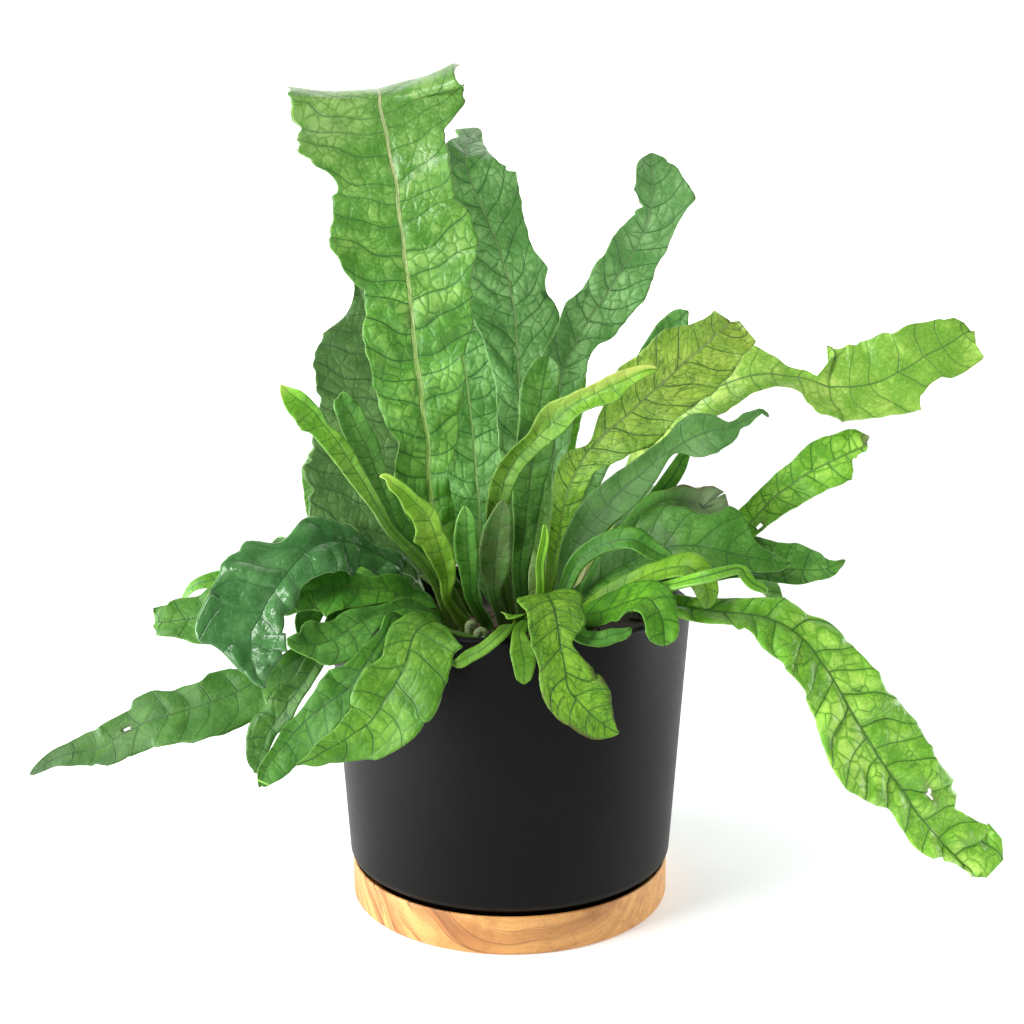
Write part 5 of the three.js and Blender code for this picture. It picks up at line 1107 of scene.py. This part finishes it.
def saucer_profile():
    """Section of the saucer, with eased edges and a shallow recess."""
    _, top, radius = node_span("saucer")
    edge = SAUCER_EDGE
    recess = top - SAUCER_RECESS_DEPTH
    bevel = SAUCER_RECESS_ROUND
    return [
        (0, 0),
        *round_points(radius - edge, edge, edge, -90, 0, 6),
        *round_points(radius - edge, top - edge, edge, 0, 90, 8),
        *round_points(SAUCER_RECESS_RADIUS + bevel, top - bevel, bevel, 90, 180, 4),
        (SAUCER_RECESS_RADIUS - bevel, recess + 0.6),
        (SAUCER_RECESS_RADIUS - 2 * bevel, recess),
        (0, recess),
    ]


def smooth_curve(points, places):
    """Points and slopes of the smooth curve through the rows, at these places counted in rows."""
    padded = np.vstack([2 * points[0] - points[1], points, 2 * points[-1] - points[-2]])
    index = np.clip(np.floor(places).astype(int), 0, len(points) - 2)
    t = (places - index)[:, None]
    before, start, end, after = (padded[index + step] for step in range(4))
    out, into = (end - before) / 2, (after - start) / 2
    cube = 2 * start - 2 * end + out + into
    square = -3 * start + 3 * end - 2 * out - into
    return cube * t ** 3 + square * t ** 2 + out * t + start, 3 * cube * t ** 2 + 2 * square * t + out


def unit(vectors):
    """The same directions at length 1."""
    return vectors / np.linalg.norm(vectors, axis=-1, keepdims=True)


def fade(value, start, end):
    """1 up to start, 0 from end on."""
    return np.clip((end - value) / (end - start), 0, 1)


def blade_form(node, frond, blade):
    """Every point of a frond's sheet in metres, with the maps that its veins are drawn from."""
    luck = random.Random(node)
    x, y = frond["root"]
    foot = [[x, y, STIPE_FOOT, STIPE_WIDTH, STIPE_WIDTH], [x, y, STIPE_COLLAR, STIPE_WIDTH, STIPE_WIDTH]]
    rows = np.array(foot + frond["rows"], float)
    places = [0.0]
    steps = np.linalg.norm(np.diff(rows[:, :3], axis=0), axis=1)
    for index, step in enumerate(steps):
        parts = max(2, round(step / blade.mesh_step))
        places.extend(index + (k + 1) / parts for k in range(parts))
    places = np.array(places)
    middle, slope = smooth_curve(rows[:, :3], places)
    size = smooth_curve(rows[:, 3:], places)[0]
    grown = places / (len(rows) - 1)
    looks = np.linspace(0, 1, len(frond["face"]))
    face = unit(np.stack([np.interp(grown, looks, part) for part in zip(*frond["face"])], axis=1))
    along = unit(slope)
    right = unit(np.cross(along, face))
    up = unit(np.cross(right, along))
    run = np.concatenate([[0], np.cumsum(np.linalg.norm(np.diff(middle, axis=0), axis=1))])
    ran = run[:, None]

    half = np.maximum(size, 0.9)
    narrow = fade(half.sum(axis=1), STIPE_UP_TO, BLADE_FROM)
    stout = narrow * fade(grown, *STIPE_FADE)
    broad = 1 - narrow
    last = rows[-1, 3:].max()
    tip = frond["tip"] or (min(6.0, last) if last > 3 else 2.0)
    blunt = np.sqrt(np.clip(1 - (np.clip(run - (run[-1] - tip), 0, tip) / tip) ** 2, 0.02, 1))
    half = np.maximum(half * blunt[:, None], 0.45)

    columns = max(5, math.ceil(rows[:, 3:].max() / blade.mesh_step))
    across = np.linspace(-1, 1, 2 * columns + 1)[None, :]
    edge = np.abs(across)
    side = (across > 0).astype(int)
    reach = np.where(side == 0, half[:, :1], half[:, 1:])
    turns = [luck.uniform(0, math.tau) for _ in range(8)]
    widest = rows[:, 3:].max()
    spacing = min(MOST_VEIN_SPACING, blade.vein_spacing + VEIN_SPACING_PER_WIDTH * widest)
    ripple = np.stack([sum(high * np.sin(math.tau * run / long + turns[k + 2 * order])
                           for order, (long, high) in enumerate(RIPPLES)) for k in range(2)], axis=1)
    ripple = ripple * broad[:, None]
    reach = reach * (1 + np.where(side == 0, ripple[:, :1], ripple[:, 1:]) * edge ** 2)
    for place, hand, out, long in frond["nicks"]:
        bite = out * np.clip(1 - np.abs(run - place) / long, 0, 1)[:, None]
        reach = reach + np.where(side == (hand > 0), bite, 0)
    offset = across * reach
    distance = np.abs(offset)

    # Veins
    sweep = frond["sweep"]
    wobble = 0.14 * np.sin(math.tau * run / SWAY_LENGTH + turns[4])[:, None]
    wobble = wobble + 0.07 * np.sin(distance / 3.7 + ran / 9 + turns[5])
    leaning = (sweep * distance + 0.25 * distance ** 2 / np.maximum(reach, 6)) / spacing
    count = ran / spacing - leaning + wobble
    phase = np.where(side == 0, turns[6], turns[7]) / math.tau
    veins = count + phase
    row = np.floor(veins)
    stretch = 0.85 + 0.3 * np.mod(ROW_STRETCH * row, 1)
    cells = distance / min(blade.cell_width, max(4.0, widest / 1.7))
    cells = cells + 0.16 * np.sin(ran / 2.1 + turns[2]) * np.minimum(1, distance / 4)
    crossing = cells * stretch + np.mod(ROW_SHIFT * row, 1)
    height = 0.75 + 0.45 * np.sin(1.9 * row + turns[3]) + 0.25 * np.sin(distance / 4.1 + 2.3 * row)
    pillow = height * np.abs(np.sin(math.pi * veins)) ** 0.7
    pillow = pillow * (0.75 + 0.25 * np.abs(np.sin(math.pi * crossing)) ** 0.7)

    def near_tip(length):
        return np.clip(1 - (run[-1] - ran) / length, 0, 1)

    # Relief
    length = np.interp(places, range(len(rows)), np.concatenate([[0], np.cumsum(steps)]))[:, None]
    turn = math.tau * length / WAVE_LENGTH + np.where(side == 0, WAVE_START[0], WAVE_START[1])
    wave = np.sin(turn) * frond["ruffle"] * edge ** 2
    turn = math.tau * ran / SHORT_WAVE + np.where(side == 0, turns[0], turns[3])
    small = 0.3 * frond["ruffle"] * np.sin(turn) * edge ** 3
    puff = blade.puff * frond["puff"] * min(1.0, spacing / 10) * pillow * (1 - edge ** 6)
    puff = puff * (1 - np.exp(-(distance / FLAT_BESIDE_MIDRIB) ** 2))
    drift = np.sin(ran / 6.1 + offset / 8.5 + turns[1])
    drift = drift * np.sin(offset / 7.2 - ran / 12.5 + turns[6])
    puff = puff + 0.4 * blade.puff * drift * (1 - np.exp(-(distance / 5) ** 2)) * np.minimum(1, reach / 12)
    calm = frond["smooth_from"]
    rough = fade(grown, calm, calm + 0.3)[:, None]
    puff = puff * (0.35 + 0.65 * rough)
    groove = blade.groove * np.exp(-(distance / GROOVE_WIDTH) ** 2)
    lift = frond["cup"] * reach * edge ** 2 + (wave + small + puff - groove) * broad[:, None]
    forward = np.where(side == 0, *frond["corners"]) * edge * near_tip(CORNER_LENGTH) ** 2
    split = np.clip(1 - edge / 0.5, 0, 1) * near_tip(CLEFT_LENGTH)
    forward = forward - frond["cleft"] * split
    points = middle[:, None] + right[:, None] * offset[..., None] + up[:, None] * lift[..., None]
    points = points + along[:, None] * forward[..., None]

    ridge = np.exp(-(distance / RIDGE_WIDTH) ** 2)
    thick = blade.thickness * (1 - 0.35 * edge ** 2) + RIDGE_THICKNESS * ridge * broad[:, None]
    thick = thick + (STEM_THICKNESS - 0.9 * edge ** 2) * stout[:, None]

    def late(start):
        return np.clip((grown[:, None] - start) / max(1e-3, 1 - start), 0, 1)

    stain_from = frond["stain_from"]
    if stain_from > 0:
        stain = frond["stain"] * np.clip(late(stain_from) * 4, 0, 1)
    else:
        stain = frond["stain"] + 0 * edge
    stain = stain + frond["edge"] * np.clip((edge - 0.76) / 0.24, 0, 1) * np.clip(late(0.4) * 3, 0, 1)
    ageing = frond["yellow"] * np.clip(late(frond["yellow_from"]) * 2, 0, 1)
    if frond["yellow_side"]:
        ageing = ageing * np.clip(across * frond["yellow_side"] * 2 - 0.3, 0, 1)
    ageing = np.maximum(ageing + 0 * edge, 0.3 * fade(grown, 0.03, 0.16)[:, None])
    open_at = np.zeros(points.shape[:2], bool)
    for place, beside, long, wide, slant in frond["holes"]:
        ahead = ran - place
        apart = offset - beside - slant * ahead
        size = np.hypot(ahead / long, apart / wide)
        open_at |= size < 1
        stain = np.maximum(stain, 0.4 * np.clip(2.0 - size, 0, 1))
    clear = broad * frond["veins"] * (0.6 + 0.4 * rough[:, 0])
    inward = np.hypot(points[..., 0], points[..., 1]) / blade.shade_width
    below = (points[..., 2] - blade.shade_height) / SHADE_SPREAD
    shape = points.shape[:2]
    return {
        "open": open_at,
        "points": points * MM,
        "lit": 1 - blade.shade * np.exp(-inward ** 2 - below ** 2),
        "thick": thick,
        "count": count,
        "cells": cells,
        "phase": (turns[6] / math.tau, turns[7] / math.tau),
        "offset": offset / 10,
        "run": np.broadcast_to(ran / 10, shape),
        "to_margin": (1 - edge) * reach / 10,
        "grown": np.broadcast_to(grown[:, None], shape),
        "marks": np.stack([np.broadcast_to(part, shape) for part in
                           (np.clip(stain, 0, 1), np.clip(ageing, 0, 1), clear[:, None])], axis=-1),
        "middle": columns,
    }


def add_map(mesh, name, first, second):
    """One UV map, from two numbers for each corner of a face."""
    layer = mesh.uv_layers.new(name=name)
    layer.uv.foreach_set("vector", np.stack([first, second], axis=1).astype(np.float32).ravel())


def add_attribute(mesh, name, *numbers):
    """One attribute, from one number or three for each point."""
    kind, key = ("FLOAT_VECTOR", "vector") if len(numbers) == 3 else ("FLOAT", "value")
    layer = mesh.attributes.new(name, kind, "POINT")
    layer.data.foreach_set(key, np.stack(numbers, axis=1).astype(np.float32).ravel())


def frond_mesh(node, frond, blade):
    """A flat grid laid on the frond's form. Its thickness comes from a Solidify modifier."""
    form = blade_form(node, frond, blade)
    rows, columns, _ = form["points"].shape
    across, along = columns - 1, rows - 1
    sheet = bmesh.new()
    bmesh.ops.create_grid(sheet, x_segments=across, y_segments=along, size=0.5)
    torn = []
    for face in sheet.faces:
        centre = face.calc_center_median()
        column = math.floor((centre.x + 0.5) * across)
        row = math.floor((centre.y + 0.5) * along)
        if form["open"][row:row + 2, column:column + 2].sum() > 2:
            torn.append(face)
    bmesh.ops.delete(sheet, geom=torn, context="FACES")
    order = []
    for point in sheet.verts:
        column = round((point.co.x + 0.5) * across)
        row = round((point.co.y + 0.5) * along)
        order.append(row * columns + column)
        point.co = form["points"][row, column]
    mesh = to_mesh(sheet, node)
    order = np.array(order)

    corners = np.empty(len(mesh.loops), np.int32)
    mesh.loops.foreach_get("vertex_index", corners)
    starts = np.empty(len(mesh.polygons), np.int32)
    mesh.polygons.foreach_get("loop_start", starts)
    # A face lies on the right where its four corners do
    on_right = np.add.reduceat((order % columns)[corners], starts) > 4 * form["middle"]
    phase = np.where(np.repeat(on_right, 4), form["phase"][1], form["phase"][0])
    flat = {key: np.ascontiguousarray(form[key]).reshape(rows * columns)[order]
            for key in ("thick", "count", "cells", "offset", "run", "to_margin", "grown", "lit")}
    at_corners = {key: value[corners] for key, value in flat.items()}
    add_map(mesh, "veins", at_corners["count"] + phase, at_corners["cells"])
    add_map(mesh, "blade", at_corners["offset"], at_corners["run"])
    add_map(mesh, "margin", at_corners["to_margin"], at_corners["grown"])

    # Painted shade: the tint pair and lit darken the frond where it lies deep in the heart
    level = np.interp(flat["grown"], (0, 1), frond["tint"]) * flat["lit"]
    # cool lifts red and blue for painted sheen above 0 and deepens the green for painted shade below 0
    cool = np.interp(flat["grown"], (0, 1), frond["cool"])
    add_attribute(mesh, "tint", level * (1 + 0.25 * cool), level, level * (1 + 0.65 * cool))
    add_attribute(mesh, "dull", np.clip(-0.12 * cool, -0.14, 0.2))
    grey = frond["grey"] * np.clip((flat["grown"] - frond["grey_from"]) * 4, 0, 1)
    add_attribute(mesh, "habit", np.full(len(order), frond["rib"]), np.full(len(order), frond["pale"]), grey)
    add_attribute(mesh, "marks", *form["marks"].reshape(rows * columns, 3)[order].T)
    return mesh, flat["thick"]


def add_frond(name, frond, blade, material):
    """One frond: its sheet, its finish and its thickness."""
    node = "frond_" + name
    mesh, thick = frond_mesh(node, frond, blade)
    piece = finish_piece(mesh, "blade_" + name, material, [node])
    most = float(thick.max())
    group = piece.vertex_groups.new(name="thickness")
    levels = np.clip(np.round(thick / most * THICKNESS_STEPS), 1, THICKNESS_STEPS).astype(int)
    for level in np.unique(levels):
        group.add(np.flatnonzero(levels == level).tolist(), level / THICKNESS_STEPS, "REPLACE")
    solid = piece.modifiers.new("Thickness", "SOLIDIFY")
    solid.thickness = most * MM
    solid.offset = 0.0
    solid.vertex_group = "thickness"


def roughen(shape, amount, scale, chosen):
    """Moves the chosen points along their normals by cloudy noise, in metres."""
    shape.normal_update()
    for point in shape.verts:
        if chosen(point.co):
            point.co += point.normal * amount * noise.fractal(point.co * scale, 0.8, 2.0, 4)


def inner_radius(height):
    """Radius of the pot's inside at a height, in millimetres."""
    bottom, top, rim = node_span("pot")
    low = bottom + POT_FLOOR + POT_WALL
    rise = (height - low) / (top - POT_WALL / 2 - low)
    foot = POT_SHOULDER_RADIUS - POT_WALL
    return foot + (rim - POT_WALL - foot) * rise


def soil_shape(values):
    """The filling of the pot, with a lumpy top and loose crumbs."""
    bottom = node_span("soil")[0]
    wall = inner_radius(SOIL_TOP) - 0.5
    radii = np.linspace(wall - 2, 2, 34)
    top = [(radius, SOIL_TOP - SOIL_DIP * min(1, (wall - radius) / 9)) for radius in radii]
    corner = inner_radius(bottom + 5)
    profile = [(0, bottom), (corner - 6, bottom), (corner - 0.5, bottom + 5), (wall, SOIL_TOP - 1), *top,
               (0, SOIL_TOP - SOIL_DIP)]
    soil = turned(profile, SOIL_STEPS, closed=False)

    def on_top(place):
        return place.z > (SOIL_TOP - 3) * MM and place.xy.length < (wall - 2.5) * MM

    roughen(soil, 0.0016, 140.0, on_top)
    luck = random.Random(7)
    for _ in range(values.crumbs):
        size = luck.uniform(*CRUMB_SIZES) * MM
        radius = (wall - 5) * MM * math.sqrt(luck.random())
        angle = luck.uniform(0, math.tau)
        turned_by = luck.uniform(0, math.tau)
        axis = Vector((luck.random(), luck.random(), 0.4)).normalized()
        turn = Matrix.Rotation(turned_by, 4, axis)
        stretch = Matrix.Diagonal((luck.uniform(0.7, 2.2), luck.uniform(0.6, 1.1), luck.uniform(0.4, 0.8), 1))
        height = (SOIL_TOP - 1.2) * MM
        place = Matrix.Translation((radius * math.cos(angle), radius * math.sin(angle), height))
        bmesh.ops.create_icosphere(soil, subdivisions=1, radius=size, matrix=place @ turn @ stretch)
    return soil


def rods_mesh(name, paths, thick):
    """Round rods along smooth paths. A point of a path is a place in mm and a share of the thickness."""
    line = bpy.data.curves.new(name, "CURVE")
    line.dimensions = "3D"
    line.bevel_depth = thick * MM
    line.bevel_resolution = 3
    line.resolution_u = 6
    line.use_fill_caps = True
    for path in paths:
        spline = line.splines.new("BEZIER")
        spline.bezier_points.add(len(path) - 1)
        for point, (place, size) in zip(spline.bezier_points, path):
            point.co = Vector(place) * MM
            point.radius = size
            point.handle_left_type = "AUTO"
            point.handle_right_type = "AUTO"
    holder = bpy.data.objects.new(name, line)
    mesh = bpy.data.meshes.new_from_object(holder)
    bpy.data.objects.remove(holder)
    bpy.data.curves.remove(line)
    mesh.materials.clear()
    return mesh


def rhizome_paths():
    """Creeping rhizomes that wander over the soil from stipe to stipe."""
    luck = random.Random(11)
    roots = [frond["root"] for frond in FRONDS.values()]
    roots.sort(key=lambda root: math.atan2(root[1], root[0]))
    paths = []
    for index in range(0, len(roots), 2):
        outer = roots[index]
        angle = math.atan2(outer[1], outer[0])
        path = []
        reach = max(30.0, math.hypot(*outer))
        for step in range(6):
            radius = 6 + (reach - 2) * step / 5
            swing = angle + 0.35 * math.sin(step * 1.7 + index) * (1 - step / 5)
            height = RHIZOME_HEIGHT + 1.4 * math.sin(step * 2.1 + index * 0.7)
            size = 1.0 - 0.12 * step + luck.uniform(-0.1, 0.1)
            path.append(((radius * math.cos(swing), radius * math.sin(swing), height), size))
        tip = path[-1][0]
        path.append(((tip[0] * 1.06, tip[1] * 1.06, tip[2] - 1), 0.12))
        paths.append(path)
    return paths


def crozier_path(x, y, height, coil, turns):
    """A young frond: a short stalk that ends in a coil."""
    foot = CROZIER_FOOT
    path = [((x, y, foot), 0.75), ((x, y, foot + height * 0.5), 0.85)]
    steps = 14
    for step in range(steps + 1):
        angle = math.pi - math.tau * turns * step / steps
        radius = coil * (1 - 0.72 * step / steps)
        place = (x + coil + radius * math.cos(angle), y + 0.5 * step / steps,
                 foot + height + radius * math.sin(angle))
        path.append((place, 1.0 - 0.62 * step / steps))
    return path


def scrap_shape():
    """A dry scrap of leaf whose ends and sides curl up."""
    scrap = bmesh.new()
    bmesh.ops.create_grid(scrap, x_segments=14, y_segments=6, size=1.0)
    for point in scrap.verts:
        x, y = point.co.x, point.co.y
        point.co = Vector((SCRAP_PLACE[0] + SCRAP_HALF[0] * x,
                           SCRAP_PLACE[1] + SCRAP_HALF[1] * y * (1 - 0.5 * x * x),
                           SCRAP_PLACE[2] + 1.6 * x * x + 1.2 * y * y)) * MM
    return scrap


def add_backdrop(name, size, placed, material):
    """A square sheet of the stage, which isn't part of the object."""
    shape = bmesh.new()
    bmesh.ops.create_grid(shape, x_segments=1, y_segments=1, size=size, matrix=placed)
    mesh = to_mesh(shape, name)
    mesh.materials.append(material)
    backdrop = bpy.data.objects.new(name, mesh)
    bpy.context.scene.collection.objects.link(backdrop)


# Operators

class FERN_OT_add_saucer(bpy.types.Operator):
    """Add the turned wooden saucer"""
    bl_idname = "fern.add_saucer"
    bl_label = "Add Saucer"

    def execute(self, context):
        values = context.scene.fern_saucer
        shape = turned(saucer_profile(), values.sides, closed=False)
        mesh = to_mesh(shape, "turned_saucer")
        finish_piece(mesh, "turned_saucer", wood_finish(values), ["saucer"])
        mesh.set_sharp_from_angle(angle=SHARP_ANGLE)
        return {"FINISHED"}


class FERN_OT_add_pot(bpy.types.Operator):
    """Add the tapered pot"""
    bl_idname = "fern.add_pot"
    bl_label = "Add Pot"

    def execute(self, context):
        values = context.scene.fern_pot
        mesh = to_mesh(turned(pot_profile(), values.sides), "matte_pot")
        finish_piece(mesh, "matte_pot", pot_finish(values), ["pot"])
        mesh.set_sharp_from_angle(angle=SHARP_ANGLE)
        return {"FINISHED"}


class FERN_OT_add_soil(bpy.types.Operator):
    """Add the soil, the creeping rhizomes, the young coiled fronds and a dry scrap of leaf"""
    bl_idname = "fern.add_soil"
    bl_label = "Add Soil and Rhizomes"

    def execute(self, context):
        values = context.scene.fern_soil
        soil = to_mesh(soil_shape(values), "peat_filling")
        finish_piece(soil, "peat_filling", soil_finish(values), ["soil"])
        rods = rods_mesh("creeping_rhizomes", rhizome_paths(), RHIZOME_THICKNESS)
        finish_piece(rods, "creeping_rhizomes", rhizome_finish(values), ["rhizome_mat"])
        paths = [crozier_path(*crozier) for crozier in CROZIERS]
        coils = rods_mesh("young_croziers", paths, CROZIER_THICKNESS)
        finish_piece(coils, "young_croziers", bud_finish(values))
        scrap = to_mesh(scrap_shape(), "dry_scrap")
        piece = finish_piece(scrap, "dry_scrap", scrap_finish(context.scene.fern_blade))
        solid = piece.modifiers.new("Thickness", "SOLIDIFY")
        solid.thickness = SCRAP_THICKNESS * MM
        return {"FINISHED"}


class FERN_OT_add_fronds(bpy.types.Operator):
    """Add every frond with its veins, puckers and waved margins"""
    bl_idname = "fern.add_fronds"
    bl_label = "Add Fronds"

    def execute(self, context):
        scene = context.scene
        blade = scene.fern_blade
        finishes = {tone: leaf_finish(tone, getattr(scene, "fern_tone_" + tone), blade)
                    for tone in LEAF_TONES}
        for name, own in FRONDS.items():
            add_frond(name, {**USUAL, **own}, blade, finishes[own["tone"]])
        return {"FINISHED"}


class FERN_OT_add_stage(bpy.types.Operator):
    """Add the camera, the soft light and the floor"""
    bl_idname = "fern.add_stage"
    bl_label = "Add Stage"

    def execute(self, context):
        scene = context.scene
        values = scene.fern_stage
        lens = bpy.data.cameras.new("Camera")
        lens.lens = values.lens
        lens.sensor_width = 36
        camera = bpy.data.objects.new("Camera", lens)
        camera.location = CAMERA_PLACE
        camera.rotation_euler = (math.pi / 2 - values.pitch, 0, 0)
        scene.collection.objects.link(camera)
        scene.camera = camera
        scene.view_settings.view_transform = "Standard"

        for name, (place, (width, height)) in LIGHTS.items():
            lamp = bpy.data.lights.new(name + "_light", "AREA")
            lamp.shape = "ELLIPSE"
            lamp.size = width
            lamp.size_y = height
            lamp.energy = getattr(values, name)
            holder = bpy.data.objects.new(name + "_light", lamp)
            holder.location = place
            holder.visible_camera = False
            aim = Vector(LIGHTS_LOOK_AT) - Vector(place)
            holder.rotation_euler = aim.to_track_quat("-Z", "Y").to_euler()
            scene.collection.objects.link(holder)

        world = bpy.data.worlds.new("white_surround")
        scene.world = world
        world.use_nodes = True
        background = world.node_tree.nodes["Background"]
        background.inputs["Color"].default_value = (1, 1, 1, 1)
        background.inputs["Strength"].default_value = values.sky

        floor = Finish("pale_floor")
        floor.set(Base_Color=tuple(values.floor), Roughness=0.8, Specular_IOR_Level=0.2,
                  Emission_Color=(0.92, 0.95, 1), Emission_Strength=values.table)
        add_backdrop("floor", 12.0, Matrix.Translation((0, 0, -0.0002)), floor.material)
        glow = Finish("lit_wall")
        glow.set(Base_Color=(0.9, 0.9, 0.9), Roughness=0.9, Emission_Color=(1, 1, 1),
                 Emission_Strength=values.wall)
        upright = Matrix.Translation((0, 4.0, 5.0)) @ Matrix.Rotation(math.pi / 2, 4, "X")
        add_backdrop("white_wall", 6.0, upright, glow.material)
        return {"FINISHED"}


class FERN_PT_panel(bpy.types.Panel):
    """Lists the steps and values of the potted fern"""
    bl_idname = "FERN_PT_panel"
    bl_label = "Potted Fern"
    bl_space_type = "VIEW_3D"
    bl_region_type = "UI"
    bl_category = "Fern"

    def draw(self, context):
        scene = context.scene
        for operator in OPERATORS:
            self.layout.operator(operator.bl_idname)
        for name, group in SETTINGS.items():
            box = self.layout.box()
            box.label(text=name.replace("fern_", "").replace("_", " ").title())
            for key in group.__annotations__:
                box.prop(getattr(scene, name), key)


SETTINGS = {
    "fern_saucer": FernSaucerSettings,
    "fern_pot": FernPotSettings,
    "fern_soil": FernSoilSettings,
    "fern_blade": FernBladeSettings,
    **{"fern_tone_" + tone: group for tone, group in LEAF_TONES.items()},
    "fern_stage": FernStageSettings,
}
OPERATORS = (
    FERN_OT_add_stage,
    FERN_OT_add_saucer,
    FERN_OT_add_pot,
    FERN_OT_add_soil,
    FERN_OT_add_fronds,
)


def register():
    for group in (*SETTINGS.values(), *OPERATORS, FERN_PT_panel):
        bpy.utils.register_class(group)
    for name, group in SETTINGS.items():
        setattr(bpy.types.Scene, name, PointerProperty(type=group))


def unregister():
    for name in SETTINGS:
        delattr(bpy.types.Scene, name)
    for group in reversed((*SETTINGS.values(), *OPERATORS, FERN_PT_panel)):
        bpy.utils.unregister_class(group)


def main():
    """Dresses the whole part."""
    register()
    bpy.ops.fern.add_stage()
    bpy.ops.fern.add_saucer()
    bpy.ops.fern.add_pot()
    bpy.ops.fern.add_soil()
    bpy.ops.fern.add_fronds()


if __name__ == "__main__":
    main()
